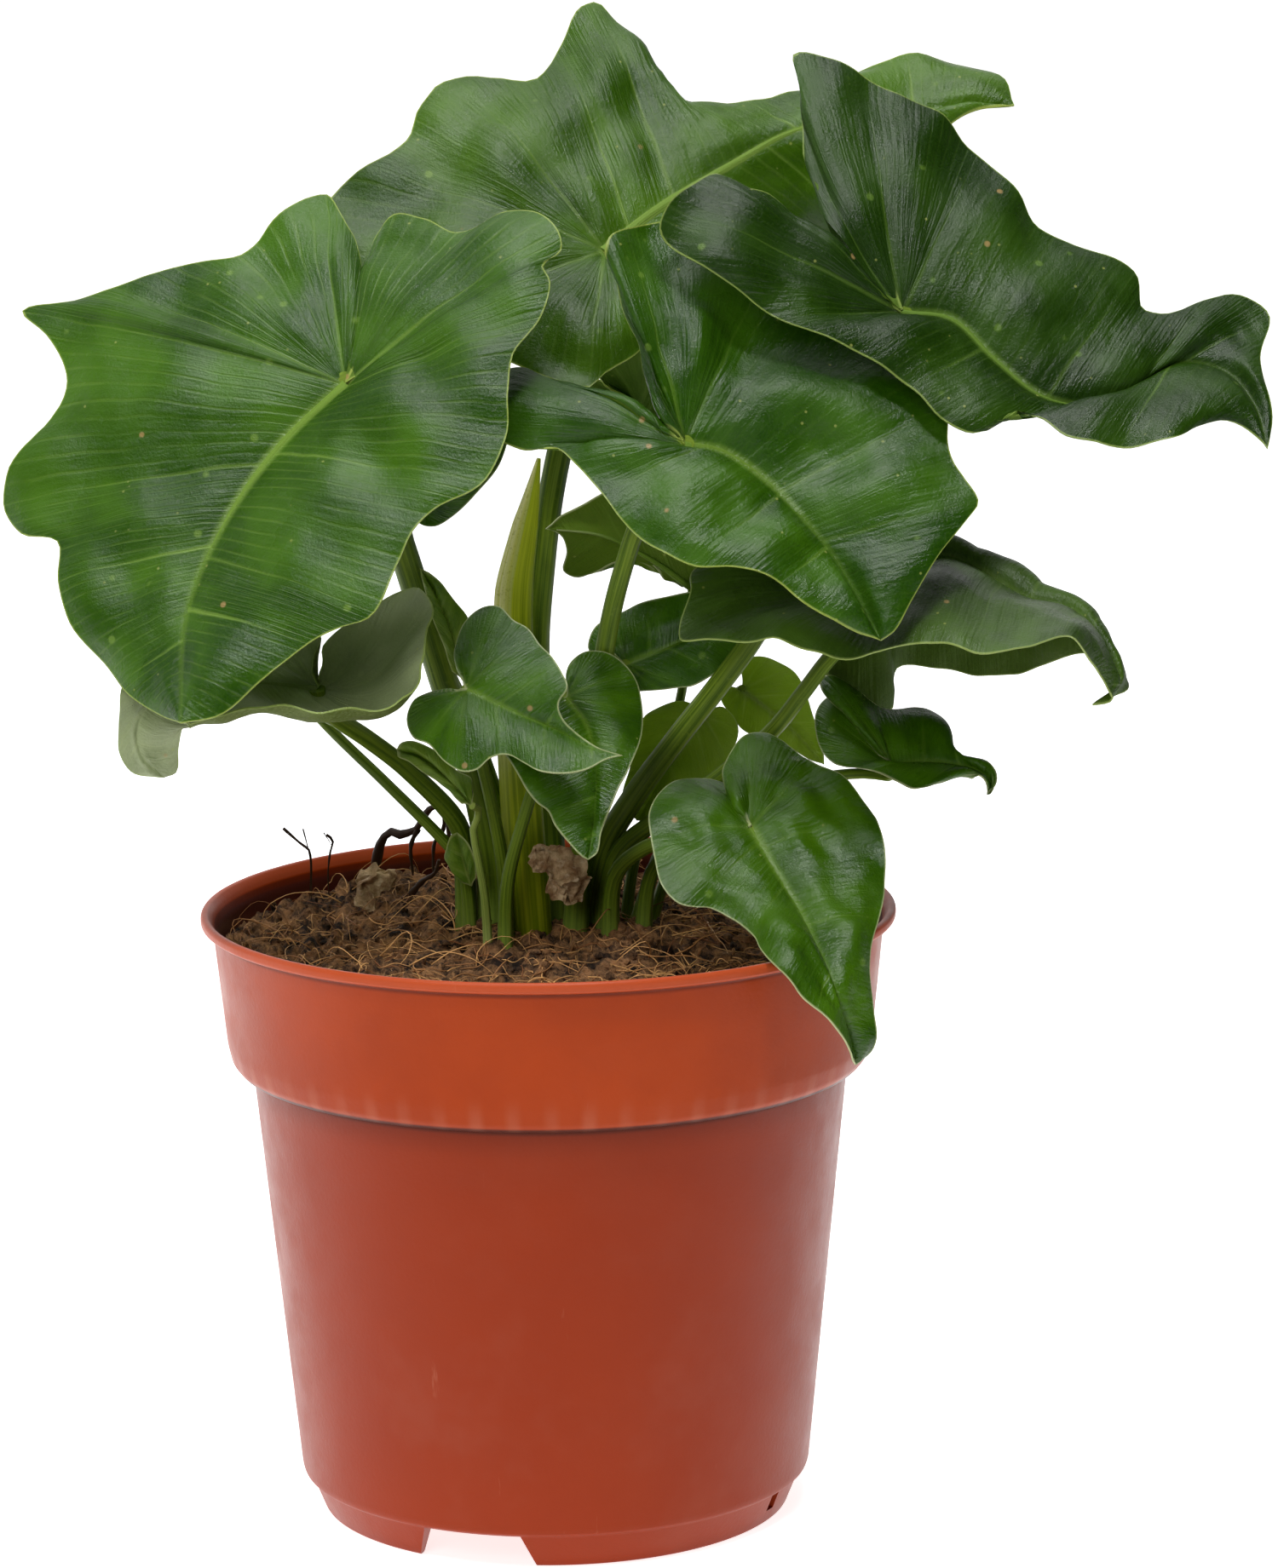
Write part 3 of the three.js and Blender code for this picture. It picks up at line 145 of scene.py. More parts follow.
LEAVES = {
    "upper_left_leaf": {
        "at": [-47, 279, -25], "face": [-0.2, -1, 0.55], "arch": [0.1, 0.12], "fan": [0.5, 0.42],
        "size": "large", "rib_width": 2.8, "cushion": 0.06, "sweep": 1.4,
        "rib": [[-62.7, 265, 1], [-76.5, 246.7, 1], [-86.3, 225], [-89, 196.8, -6]],
        "first": [
            [-44.5, 284], [-42.6, 292, 2], [-42.6, 304, 5], [-44, 314, 8], [-48, 322, 10],
            [-51.6, 325.7, 12], [-63.4, 318.5, 8], [-72.3, 309.7, 6], [-84, 309, 8], [-102, 302.5, 8],
            [-116, 300.3, 9], [-124, 297.7, 12], [-118, 291.2, 9], [-114.2, 280, 6], [-119, 271, 6],
            [-128, 259.2, 8], [-130.3, 250.8, 10], [-125.4, 243.4, 9], [-117, 241.5, 6], [-116.5, 231, 6],
            [-113.9, 221, 7], [-102.2, 206, 7], [-93.5, 198.5],
        ],
        "second": [
            [-42.5, 282], [-40.6, 288, 1], [-40.6, 300, 4], [-40.4, 311, 7], [-38.2, 317, 8],
            [-34.5, 320.4, 8], [-27.2, 318.7, 6], [-20, 314.5, 4], [-14.4, 315.7, 3], [-7, 319.8, 2],
            [-1, 320], [4.5, 315.5, -2], [5.2, 311, -3], [0.8, 307.5, -4], [2.5, 303.5, -5], [0, 294.5, -6],
            [-6.5, 286, -7], [-8, 277, -8], [-8.5, 267, -8], [-14.5, 255, -8], [-25.7, 248.7, -8],
            [-31, 243.5, -8], [-35, 236, -8], [-41.4, 222.5, -8], [-49, 219.8, -7], [-57.5, 216, -7],
            [-69.6, 206.3, -5], [-79, 198.4, -4],
        ],
        "veins": [[5, 9, 11, 16, 19, 21], [4, 11, 15, 19, 23, 25]],
        "base": [-13, 5], "radius": [4.1, 3.3],
        "path": [[-13.5, 160, 6], [-17.5, 182, 4], [-25.5, 209, -2], [-32.3, 233, -8], [-40, 258, -13]],
    },
    "top_leaf": {
        "at": [15.7, 310.5, 20], "face": [0.1, -1, 0.7], "fan": [0.55, 0.4], "size": "large",
        "cushion": 0.07, "pucker": 0.12,
        "dents": [
            [-8, 335, 9, 2], [15, 345, 8, 1.4], [40, 338, 6, -1.2], [78, 349, 8, 1.6], [10, 292, 7, 1.5],
        ],
        "rib": [[28.2, 320.2], [46, 330.6], [62, 339, 1], [88, 343, 5], [114, 344.4, 2]],
        "first": [
            [18, 305.5], [22, 296.5, -1], [25, 288, -2], [21.6, 284.6, -3], [16, 281.7, -3],
            [11.5, 278, -3], [4, 279, -1], [-8, 284, 3], [-28, 292, 6], [-52, 305, 9], [-49.2, 325, 8],
            [-40.5, 331, 6], [-32, 335.6, 5], [-27.5, 346, 5], [-20, 352.3, 5], [-10, 352.5, 3],
            [0, 352.3, 2], [5, 360, 4], [9.5, 367.5, 6], [14.3, 370.5, 8], [20, 364.7, 6], [25.6, 356.6, 4],
            [31, 349, 3], [39, 345.2, 3], [50, 346, 5], [61.8, 348.4, 7], [77, 353.2, 9], [88, 355, 11],
            [100, 353.3, 10], [110.5, 351, 7],
        ],
        "second": [
            [18.8, 306.5], [23.5, 297, 2], [27.5, 287, 5], [31, 279, 9], [38, 275, 13], [48, 280, 17],
            [57, 292, 20], [64, 306, 23], [70, 311.8, 24], [78, 315, 21], [84, 321, 17], [91, 331, 10],
            [98, 339, 4], [106, 343.6, 1],
        ],
        "veins": [[5, 8, 11, 14, 17, 19, 24, 27], [3, 6, 9, 11]],
        "base": [1, 7], "radius": [4.1, 3],
        "path": [
            [0.5, 168, 8], [-1.2, 195, 9], [-2, 214, 10], [-0.5, 232, 11], [2.2, 252, 13], [8.5, 280, 16],
        ],
    },
    "upper_right_leaf": {
        "at": [86.9, 294.7, -15], "face": [0.1, -1, 0.5], "arch": [0.12, 0.12], "fan": [0.5, 0.5],
        "size": "large", "cushion": 0.065,
        "rib": [
            [99, 293], [109, 283.5], [120, 274.5], [130, 271.7, 1], [140, 273, 2], [147, 278.5, 4],
            [155, 282, 5], [165, 279.5, 3], [172, 271.5, -1], [175.4, 260.7, -6],
        ],
        "first": [
            [84.6, 302], [82.2, 312, 2], [78.5, 320.5, 2], [70.5, 324.6, 1, 5], [64.2, 331, 2, 8],
            [63.5, 342, 4, 8], [61.5, 352, 6, 8], [61.3, 357.3, 7, 7], [69.6, 356.4, 6, 5],
            [79.2, 351.6, 6, 3], [88.8, 345.9, 6, 1], [97.4, 340.5, 7], [106, 333.2, 7], [114.7, 322.4, 7],
            [120, 315.1, 7], [132, 309.6, 8], [143, 303.6, 9], [144.6, 294.5, 8], [151.2, 293.1, 7],
            [160.8, 297, 8], [168.4, 298.4, 8], [175.6, 293.5, 7], [173.2, 282, 3], [176.3, 266, -3],
        ],
        "second": [
            [80.8, 298.4, -1], [73.8, 304.5, -3], [67, 311.8, -5], [61.9, 318.3, -7], [54.5, 323.8, -9],
            [47.5, 325.2, -10], [42.5, 329, -11], [37.5, 327, -13], [31, 321.5, -14], [29, 315.3, -14],
            [34, 310, -14], [45.6, 301.8, -13], [58.1, 293.3, -12], [68.6, 289.1, -11], [79.2, 283.9, -10],
            [89.7, 276.3, -9], [96, 269, -8], [104, 265.2, -8], [112.8, 268.8, -6], [119.5, 269.3, -5],
            [127, 264, -7], [139.6, 262, -8], [151.2, 262.6, -8], [158, 266, -6], [166, 267.5, -4],
            [171.1, 265, -4],
        ],
        "veins": [[5, 9, 12, 16, 19, 21], [4, 8, 12, 15, 18, 21]],
        "base": [10.5, 3.5], "radius": [3.4, 2.5],
        "path": [
            [13.5, 163, 2], [20, 174.8, 0], [31.7, 190.8, -3], [41.8, 203.6, -6], [51.2, 216.5, -9],
            [63, 238, -12], [75, 265, -12], [83, 284, -10],
        ],
    },
    "centre_leaf": {
        "at": [34.6, 263.5, -38], "face": [0.1, -1, 0.45], "arch": [0.12, 0.1], "fan": [0.5, 0.45],
        "size": "large", "cushion": 0.1, "sweep": 1.25, "pucker": 0.1,
        "dents": [
            [38, 290, 9, 2.6], [29, 290, 5, -1.6], [33, 246, 9, 2.2], [56, 233, 7, 1.6],
            [62, 268, 12, -1.6], [84, 262, 10, 1.4],
        ],
        "rib": [[43.6, 261.8, 1], [55, 254, 1], [64, 244], [72, 233, -1], [81.7, 214.8, -4]],
        "first": [
            [30.5, 266.6, 1], [24.7, 269.8, 3], [14, 275.2, 8], [9.3, 277.8, 10], [0, 280.3, 13],
            [-8, 283, 15], [-15, 279, 15], [-16, 272, 14], [-12, 266, 12], [-7, 263.5, 10], [-1, 262.6, 8],
            [3.3, 263.4, 5], [7.6, 259.6, 2], [13.9, 252.2], [19.4, 244.8, -2], [27.2, 238.2, -4],
            [36.6, 233.6, -6], [46.8, 232.9, -7], [57, 228.9, -7], [63.3, 223.9, -7], [75.9, 216.7, -5],
        ],
        "second": [
            [31, 269.3, 1], [26.3, 275.3, 3], [24.2, 281, 3], [22.2, 288.5, 2], [20.4, 296.6, 1],
            [18.9, 304.5], [16.4, 312.8], [20.5, 315.6, 2], [29, 316.8, 8], [42, 314, 11], [54, 307, 12],
            [65, 299, 11], [78, 289, 8], [89, 280, 5], [97, 271, 3], [98, 261], [102.1, 253.8, -2],
            [105.6, 248.7, -4], [102, 243.4, -4], [95.6, 235.3, -5], [89.3, 224.7, -5], [84.9, 216.8, -5],
        ],
        "veins": [[5, 9, 13, 16, 18], [3, 7, 10, 14, 17]],
        "base": [6.5, -3.5], "radius": [3.2, 2.2],
        "path": [[8.7, 168, -4], [12, 195, -7], [16, 220.5, -12], [19.7, 234.5, -16], [23.5, 245, -20]],
    },
    "lower_right_leaf": {
        "at": [80, 225, -25], "face": [0, -0.2, 1], "lean": [0, 0], "arch": [0.15, 0.75],
        "fan": [0.5, 0.42], "size": "large", "colour": "dark",
        "rib": [
            [90, 231.5, 6], [97, 235, 9], [104.4, 232.6, 9], [111.9, 227.9, 6], [118, 224.4, 3],
            [127.7, 221.8], [132.5, 218, -4], [137.5, 210, -9], [140, 203, -12], [133.4, 197.7, -15],
        ],
        "first": [
            [76.5, 229.5, 1], [70, 236, 2], [58, 241, 1], [48, 240, -2], [40.5, 236, -5], [35.6, 232, -7],
            [35.4, 227, -9], [32.8, 219, -14], [33.2, 215.2, -18], [44, 215.9, -22], [54.7, 216.3, -24],
            [63.7, 213.7, -25], [75, 210.5, -26], [84, 211.9, -27], [95.3, 214.2, -30], [104.3, 211.4, -33],
            [113, 211.3, -34], [120.9, 214, -31], [127.5, 215.4, -27], [130.7, 211.6, -23],
            [135.2, 205.8, -18], [138.2, 199.3, -15],
        ],
        "second": [
            [77.5, 224, 6], [73, 219, 18], [70, 211, 32], [69.6, 203, 39], [75, 197.7, 41],
            [83.8, 197.7, 41], [83.6, 203, 41], [85.5, 208, 41], [97, 207.6, 39], [105, 206, 36],
            [115, 206.3, 31], [122, 209, 25], [131, 211, 14], [138.5, 207, 1], [141.5, 202, -8],
        ],
        "base": [14, -2.5], "radius": [2.8, 1.9],
        "path": [
            [17, 162, -3], [27, 171, -4], [41, 180.5, -5], [55.2, 192.7, -6], [63, 202.4, -9],
            [69.5, 210.8, -14],
        ],
    },
    "lower_left_leaf": {
        "at": [-55.4, 204.8, -36], "face": [-0.1, -0.4, 1], "lean": [0, 0], "arch": [-0.42, 0.08],
        "fan": [0.5, 0.45], "size": "middle", "colour": "dark",
        "rib": [
            [-70, 206.5], [-84, 206.5, -2], [-94, 203, -5], [-99, 196.5, -7], [-98.5, 189, -7],
            [-93, 183.2, -6],
        ],
        "first": [
            [-54.8, 209, 1], [-53.4, 215.5, 6], [-49.7, 219.3, 9], [-43.4, 223.5, 10], [-36, 228, 10],
            [-30, 229.3, 9], [-26.9, 225, 6], [-28, 219, 1], [-29.9, 212, -5], [-31.2, 205.5, -11],
            [-34, 201.3, -16], [-40.5, 199.3, -19], [-48.4, 198.8, -21], [-55.7, 199.5, -22],
            [-64.2, 200.3, -22], [-74, 200, -20], [-82, 199.2, -16], [-88, 195.4, -11], [-89.5, 190, -8],
            [-90, 184.6, -6],
        ],
        "second": [
            [-56.6, 208.5, 1], [-56, 213, 4], [-54.4, 218, 9], [-58, 224, 14], [-72, 227, 20],
            [-88, 223, 18], [-98, 213.5, 9], [-103.4, 204, -1], [-104.3, 195, -6], [-104, 189.5, -7],
            [-100.5, 184.2, -6],
        ],
        "base": [-20, 7.5], "radius": [2.8, 2.1],
        "path": [[-20.3, 160, 8], [-21.5, 170, 6], [-33, 183.5, -1], [-43, 191.8, -10], [-50.5, 197, -21]],
    },
    "front_small_leaf": {
        "at": [-19.1, 204.1, -32], "face": [-0.15, -1, 0.5], "fan": [0.5, 0.5], "size": "middle",
        "relief": 0.4,
        "rib": [[-8, 198.5, 1], [3, 193.5, 1], [10, 189.5], [18.5, 187.2, -1]],
        "first": [
            [-20.4, 207], [-22.1, 211.8, 1], [-21.4, 216, 3], [-19.2, 220.6, 5], [-15, 224, 6],
            [-11, 224.2, 5], [-7.5, 220.8, 4], [-4, 218.9, 3], [-1.2, 215.1, 2], [1.7, 211.8],
            [4.2, 207.6, -1], [5.5, 204.1, -2], [3.2, 199.8, -2], [4.1, 196.7, -1], [6.9, 193.4],
            [12.5, 189.2],
        ],
        "second": [
            [-21.8, 203.8], [-28.7, 203, 1], [-31.9, 201.5, 2], [-33.8, 197, 3], [-32.2, 192.2, 2],
            [-28.6, 190.6, 1], [-25, 186.3], [-20.3, 183.7, -2], [-17, 184.2, -2], [-13.5, 187, -2],
            [-9.5, 187.7, -1], [-5.1, 185.4, -2], [-1.6, 183.4, -3], [4, 182.8, -3], [10, 184, -2],
            [14.5, 186.2, -1],
        ],
        "base": [-10, -9], "radius": [2, 1.4],
        "path": [[-11, 160, -11], [-14, 178, -16], [-17.5, 194, -23]],
    },
    "front_long_leaf": {
        "at": [5, 201.9, -25], "face": [0.25, -1, 0.45], "arch": [0.12, 0.12], "fan": [0.42, 0.42],
        "size": "middle", "relief": 0.6,
        "dents": [[15, 191, 7, 1.2], [5, 176, 4, 0.7]],
        "rib": [[9.6, 195.4, 1], [12, 183.5, 1], [11.4, 171.7, -1], [9.9, 161.3, -4]],
        "first": [
            [2, 202.3, 2], [-3, 201.6, 4], [-9, 199, 6], [-12.6, 194, 6], [-12, 190, 4], [-9.4, 186.8, 1],
            [-6.9, 182.6], [-4.9, 179, -1], [-2.3, 175.6, -2], [0.2, 173.6, -2], [1.9, 170, -3],
            [5.4, 165.2, -3], [8.3, 162, -4],
        ],
        "second": [
            [5.4, 205.5, 1], [7.2, 210.5, 2], [10.4, 212.9, 3], [15, 212.8, 3], [18.8, 210.4, 2],
            [22.2, 205.3, 1], [23.3, 198], [22.9, 191.5, -1], [19.9, 183.4, -3], [17.5, 179.3, -3],
            [15.5, 174.6, -3], [13.3, 168.6, -3], [12, 162.8, -4],
        ],
        "base": [-10.5, -19.5], "radius": [2, 1.4],
        "path": [[-9.8, 156, -19.5], [-6.5, 169, -19.5], [-2, 183, -19], [2.5, 196, -19]],
    },
    "front_right_leaf": {
        "at": [49.7, 168.8, -36], "face": [0.15, -1, 0.8], "arch": [0.12, 0.14], "fan": [0.45, 0.4],
        "size": "large", "sweep": 1.3, "pucker": 0.45,
        "dents": [[40, 163, 8, 1.6], [61, 176, 7, 1.2], [70, 150, 8, 1.2]],
        "rib": [[54.5, 159.9], [61.3, 148.1, -1], [65.8, 138.1, -3], [70.3, 126.3, -3], [75.3, 108.6, 12]],
        "first": [
            [47.4, 172.4, 2], [45.6, 176.6, 4], [43.4, 180, 6], [37.5, 181.3, 6], [31.8, 181.1, 5],
            [27.2, 178.1, 4], [24.8, 173.2, 3], [25.2, 167, 2], [26.2, 160.9, 1], [27.6, 155.1],
            [31.5, 150.3], [35.5, 149.1], [40.1, 148.8], [45.8, 145.7, -1], [50.1, 141.7, -2],
            [52.2, 137.6, -5], [56.6, 132.7, -10], [61.2, 127.6, -10], [65.7, 123.4, -8], [70.3, 117.7, -3],
            [73.3, 112, 5],
        ],
        "second": [
            [47.6, 173.4, 0.6], [44.3, 178.1, 1.4], [42.8, 182.6, 2.6], [44.4, 187.6, 4], [48.4, 191.8, 5],
            [53, 192.8, 5], [57, 191, 4], [61.5, 187.8, 3], [66, 184.5, 2], [71.7, 181.3, 1], [75.1, 177.1],
            [79.4, 171.3, -1], [82, 164, -2], [82.6, 154, -2], [81, 145.5, -3], [78.9, 137.5, -2],
            [79.4, 129], [80.1, 119.1, 5], [78.9, 112, 10],
        ],
        "veins": [[3, 7, 11, 14, 18], [4, 8, 11, 14, 17]],
        "base": [15, -9], "radius": [2.4, 1.6],
        "path": [[16.5, 157, -11], [22, 163, -15], [31, 166.5, -20], [41, 167, -26]],
    },
    "inner_right_leaf": {
        "at": [19.5, 209.7, -2.5], "face": [0.1, -1, 0.5], "fan": [0.4, 0.4], "size": "middle",
        "rib": [[28, 213], [37, 217], [46, 220.5], [53, 223, 1]],
        "first": [
            [16.6, 212.6], [12.4, 212, 1], [10.4, 214, 2], [12.4, 218.8, 3], [18.8, 222.1, 3],
            [28.8, 225.4, -2], [36, 227.4, -5], [45, 228, -6], [51, 225, -5],
        ],
        "second": [
            [17.6, 206.6], [15, 204, 1], [17.5, 202.8, 1], [23.3, 203], [29.6, 203.3, -1], [34.9, 204, -2],
            [39.7, 206.3, -2], [43.4, 209, -2], [46.8, 214, -1], [50.5, 219.5],
        ],
        "base": [12, 10], "radius": [1.9, 1.3],
        "path": [[12.5, 165, 9], [15, 185, 7], [18, 200, 2]],
    },
    "inner_left_leaf": {
        "at": [36, 228.5, 8], "face": [0.1, 1, 0.5], "arch": [0.1, 0.12], "fan": [0.4, 0.3],
        "size": "plain",
        "rib": [[26, 236], [14, 242], [0.6, 243.5]],
        "first": [
            [37.5, 231], [39, 237], [35, 245], [28, 250.5], [20, 252.8], [15.1, 251.5], [9.1, 248],
            [4, 246],
        ],
        "second": [
            [33.4, 228.4], [29.5, 230.4, 1], [27.4, 232.8, 1], [22.1, 234.9, 1], [17.1, 234.7, 1],
            [12, 232.3, 2], [8, 231.4, 2], [4.6, 233.6, 2], [5.4, 238.5, 1], [4, 242],
        ],
        "base": [19, 8], "radius": [1.5, 1.1],
        "path": [[21, 160, 13], [27, 180, 25], [32.8, 201, 25], [35, 216, 17]],
    },
    "inner_low_leaf": {
        "at": [38.5, 196.5, 18], "face": [0.25, -1, 0.3], "size": "plain",
        "rib": [[34, 190], [28, 181], [22, 171, -2]],
        "first": [
            [37.4, 199], [33.5, 200.4, 1], [28.5, 199.3, 1], [24, 196.6, 1], [21.8, 191, 1], [20.2, 184],
            [18.5, 178, -1], [19, 173, -2],
        ],
        "second": [
            [40.4, 198.8], [43, 199], [45.3, 196.3, 1], [46.2, 191.5, 1], [44.8, 185.8, 1], [42, 179],
            [36, 173, -1], [28, 169.5, -2],
        ],
        "base": [20.5, 1], "radius": [1.5, 1.1],
        "path": [[26, 160, 6], [34, 178, 17], [37.5, 190, 21]],
    },
    "inner_back_leaf": {
        "at": [47.8, 203.2, 28], "face": [0.2, -1, 0.4], "fan": [0.45, 0.4], "size": "plain",
        "rib": [[53, 199], [60, 193], [67.8, 184.3]],
        "first": [
            [47.9, 206.5, 1], [49.2, 209.3, 2], [52, 210.4, 2], [55.5, 210, 2], [59.9, 207.6, 1],
            [62.5, 204, 1], [64.9, 198.2], [66.6, 191.5],
        ],
        "second": [
            [45, 203.9, 1], [42.6, 201.2, 1], [44.4, 197.5, 1], [47, 194], [50.5, 191.7], [55.3, 190.8],
            [60, 188.2], [64.6, 185.3],
        ],
        "base": [25, 7], "radius": [1.5, 1.1],
        "path": [[30, 160, 17], [39, 180, 32], [45.5, 196, 36]],
    },
    "curled_leaf": {
        "at": [84.7, 183.1, -6], "face": [0.1, -1, 0.7], "arch": [0.18, 0.15], "fan": [0.5, 0.5],
        "size": "middle",
        "rib": [[91, 184.5], [99, 184], [105, 182.4, -1], [108.6, 178.8, -2], [107.7, 176.3, -3]],
        "first": [
            [81.6, 186.6, -1], [75.5, 193.8, -2], [66.6, 204.6, -4], [69.6, 206.2, -2], [74.4, 203],
            [79.4, 199, 2], [85.5, 198.2, 3], [92.3, 197.6, 3], [96, 195.4, 2], [97.8, 191, 1],
            [100, 186.6], [103.6, 185, -1], [107.4, 182.6, -1], [109, 178.8, -2],
        ],
        "second": [
            [81.2, 187.2, 2], [75.6, 195.4, 4], [70.4, 200.6, 6], [66.2, 196, 5], [66.6, 188.6, 3],
            [70.6, 184.2, 1], [75.6, 183.2], [80.5, 182.2, -1], [85.4, 179.6, -3], [89.6, 177.8, -4],
            [94.5, 179.1, -3], [99.8, 181, -2], [104.6, 180.7, -2], [107, 178.6, -3],
        ],
        "base": [23, -4], "radius": [2.2, 1.3],
        "path": [[26, 159, -4], [36, 167.5, -5], [53, 176.5, -3], [68, 181, 0], [78, 181.8, 1]],
    },
    "back_left_leaf": {
        "at": [-33, 250, 2], "face": [0.2, -1, 0.5], "size": "plain",
        "rib": [[-26, 257], [-17, 266], [-7, 273, 1]],
        "first": [
            [-36.2, 251.6], [-42, 256], [-44, 264, 1], [-38, 273, 2], [-28, 279, 2], [-17, 279, 2],
            [-10, 276, 1],
        ],
        "second": [
            [-32.2, 247.2], [-29.6, 244.8], [-26, 244.3], [-21.5, 246.8], [-15.2, 253.2], [-10, 259.5],
            [-7.5, 266.5, 1],
        ],
        "base": [-7, 10], "radius": [1.8, 1.2],
        "path": [[-9, 166, 14], [-18, 196, 16], [-27, 218, 14], [-31, 235, 11]],
    },
    "back_centre_leaf": {
        "at": [24, 272, 42], "face": [0.2, 1, 0.4], "size": "plain",
        "rib": [[33, 266], [45, 257], [58, 246, 2]],
        "first": [
            [22, 275], [14, 280.5], [12, 289], [22, 295], [34, 294, 1], [47, 286, 2], [57, 273, 2],
            [60, 259, 2],
        ],
        "second": [
            [21.4, 273, 0.8], [13, 278.6, 1.2], [7, 273, 1.4], [11, 263, 1.4], [19, 258, 2], [28, 252, 2],
            [39, 246, 2], [49, 244, 2],
        ],
        "base": [8, 16], "radius": [1.9, 1.3],
        "path": [[7.5, 175, 22], [12.3, 205, 27], [18.2, 230, 33], [22.5, 252, 37]],
    },
    "far_left_leaf": {
        "at": [-72, 222, 14], "face": [-0.35, 1, 0.7], "size": "plain",
        "rib": [[-81, 229], [-93, 238], [-107, 246]],
        "first": [[-69.6, 225], [-66, 231], [-68, 241], [-77, 250], [-90, 255], [-101, 252]],
        "second": [[-74.6, 219.8], [-79, 215.5], [-87, 216], [-96, 222], [-104, 231], [-108, 240]],
        "base": [-19, 0], "radius": [1.7, 1.2],
        "path": [[-21, 161, 0], [-24.8, 166, 0], [-39, 181, 2], [-53.8, 196.2, 6], [-64, 209, 11]],
    },
    "front_bract": {
        "at": [-18.3, 175.2, -24], "face": [-0.5, -1, 0.6], "arch": [0.15, 0.15], "fan": [0.25, 0.25],
        "size": "small", "colour": "fresh",
        "rib": [[-24, 181.8], [-30, 187], [-36.5, 189.5, -1]],
        "first": [[-17.6, 178.4], [-18.3, 182.4], [-22, 184.2], [-26.6, 187.8], [-32.5, 189.8]],
        "second": [[-20.4, 175.8], [-25, 179.6], [-29.6, 184], [-33.6, 187.6]],
        "base": [-14.6, -20.5], "radius": [1.2, 0.9],
        "path": [[-15.6, 153, -20.5], [-17, 162, -20.5], [-18, 170, -20]],
    },
}

# Bracts and dry scraps without a stalk
SCALES = {
    "left_bract": {
        "at": [-18.8, 155, -8], "face": [-0.4, -1, 0.2], "arch": [0.2, 0.2], "fan": [0.3, 0.3],
        "size": "small", "colour": "fresh",
        "rib": [[-20.5, 161], [-22.2, 168.6]],
        "first": [[-20.6, 156.2], [-24.4, 159.6], [-25.6, 162], [-24.4, 165]],
        "second": [[-17.6, 157.2], [-18.2, 162], [-19.6, 166]],
    },
    "stalk_bract": {
        "at": [-20.6, 207, -14], "face": [0.3, -1, 0.1], "arch": [0.2, 0.2], "fan": [0.3, 0.3],
        "size": "small", "colour": "fresh",
        "rib": [[-22, 216], [-25.4, 225.4], [-29.9, 234, 1]],
        "first": [[-22.6, 208.4], [-24.6, 215], [-27.4, 223.6]],
        "second": [[-18.6, 209.6], [-17.8, 217], [-18.8, 222], [-24.4, 229.2]],
    },
    "dry_left": {
        "at": [-36.8, 157.5, 29], "face": [-0.3, -1, 0.6], "arch": [0.2, 0.2], "fan": [0.3, 0.3],
        "size": "middle", "colour": "dry", "crumple": 0.9,
        "rib": [[-41, 157.6, -1], [-44.6, 153.6, -1], [-46, 150.4]],
        "first": [[-37.6, 160, 1], [-42, 160.6, 1], [-46.4, 156.6, 1], [-47.6, 152.4]],
        "second": [[-37.8, 154.8], [-40.4, 154.6], [-41.6, 151.4], [-44, 150]],
    },
    "dry_centre": {
        "at": [-2.6, 165.2, -17], "face": [0.2, -1, 0.3], "arch": [0.2, 0.2], "fan": [0.3, 0.3],
        "size": "middle", "colour": "dry", "crumple": 0.9,
        "rib": [[1, 160, -1], [5, 154.6, -1], [6.4, 150.4]],
        "first": [[-4.6, 163.6], [-3.4, 159.8], [0.6, 157], [1.2, 153, -1], [3.6, 150.8]],
        "second": [[-0.6, 166.6], [3.4, 165, -1], [7.4, 161.6, -1], [9.8, 157.6], [8.6, 153]],
    },
}

# New leaf: a sheath rolled round itself, with its radii from the soil to the tip
SPIKE = {
    "base": [-3.5, -4.5], "radii": [4.6, 5, 5.1, 5, 4.9, 4.8, 4.6, 3.1, 0.5],
    "path": [
        [-5.8, 165, -5], [-7, 190, -4], [-7.6, 212, -2], [-7.3, 228, 0], [-5.1, 240.5, 0], [-3, 250, 0],
        [-0.8, 260.5, 0],
    ],
}

# Roots and twigs that stick out of the soil: points right, up, depth, and their thickness
ROOTS = [
    ([[-64.4, 170.2, 46], [-60.2, 166.3, 46], [-58.2, 164.6, 45], [-57.8, 160, 44], [-58, 152, 42]], 0.4),
    ([[-59.6, 170, 44], [-58.8, 166.6, 44], [-58, 162, 44], [-58.4, 152, 42]], 0.2),
    ([[-53.9, 168.5, 48], [-52.4, 167, 48], [-53.1, 164, 48], [-53.7, 159, 47], [-53.5, 150, 46]], 0.35),
    ([[-54.6, 169, 48], [-53.6, 167.4, 48], [-52.6, 165.6, 48]], 0.15),
    ([
        [-42, 161, 50], [-40.6, 166.4, 48], [-38.4, 169, 46], [-36, 168.2, 44], [-33.6, 168.8, 42],
        [-31.4, 170, 40], [-30.6, 172, 38], [-27.2, 175.4, 35], [-24.6, 173.4, 32], [-24, 166, 30],
    ], 1.3),
    ([[-31.4, 169.6, 40], [-32.6, 167.6, 40], [-33.4, 165, 40], [-33, 158, 40]], 0.7),
    ([[-24.8, 174, 33], [-25.4, 169.4, 34], [-27.6, 166, 36], [-28, 158, 36]], 0.7),
    ([[-33.5, 153.4, 22], [-30.6, 156.6, 18], [-27.6, 158.6, 14], [-26.6, 161.8, 12]], 0.9),
]


# Curves and noise
def placed(right, up, depth):
    """The place of a point that the camera sees at right and up, moved back by depth."""
    scale = 1 + depth / VIEW_DISTANCE
    return np.array([right * scale, depth, VIEW_HEIGHT + (up - VIEW_HEIGHT) * scale])


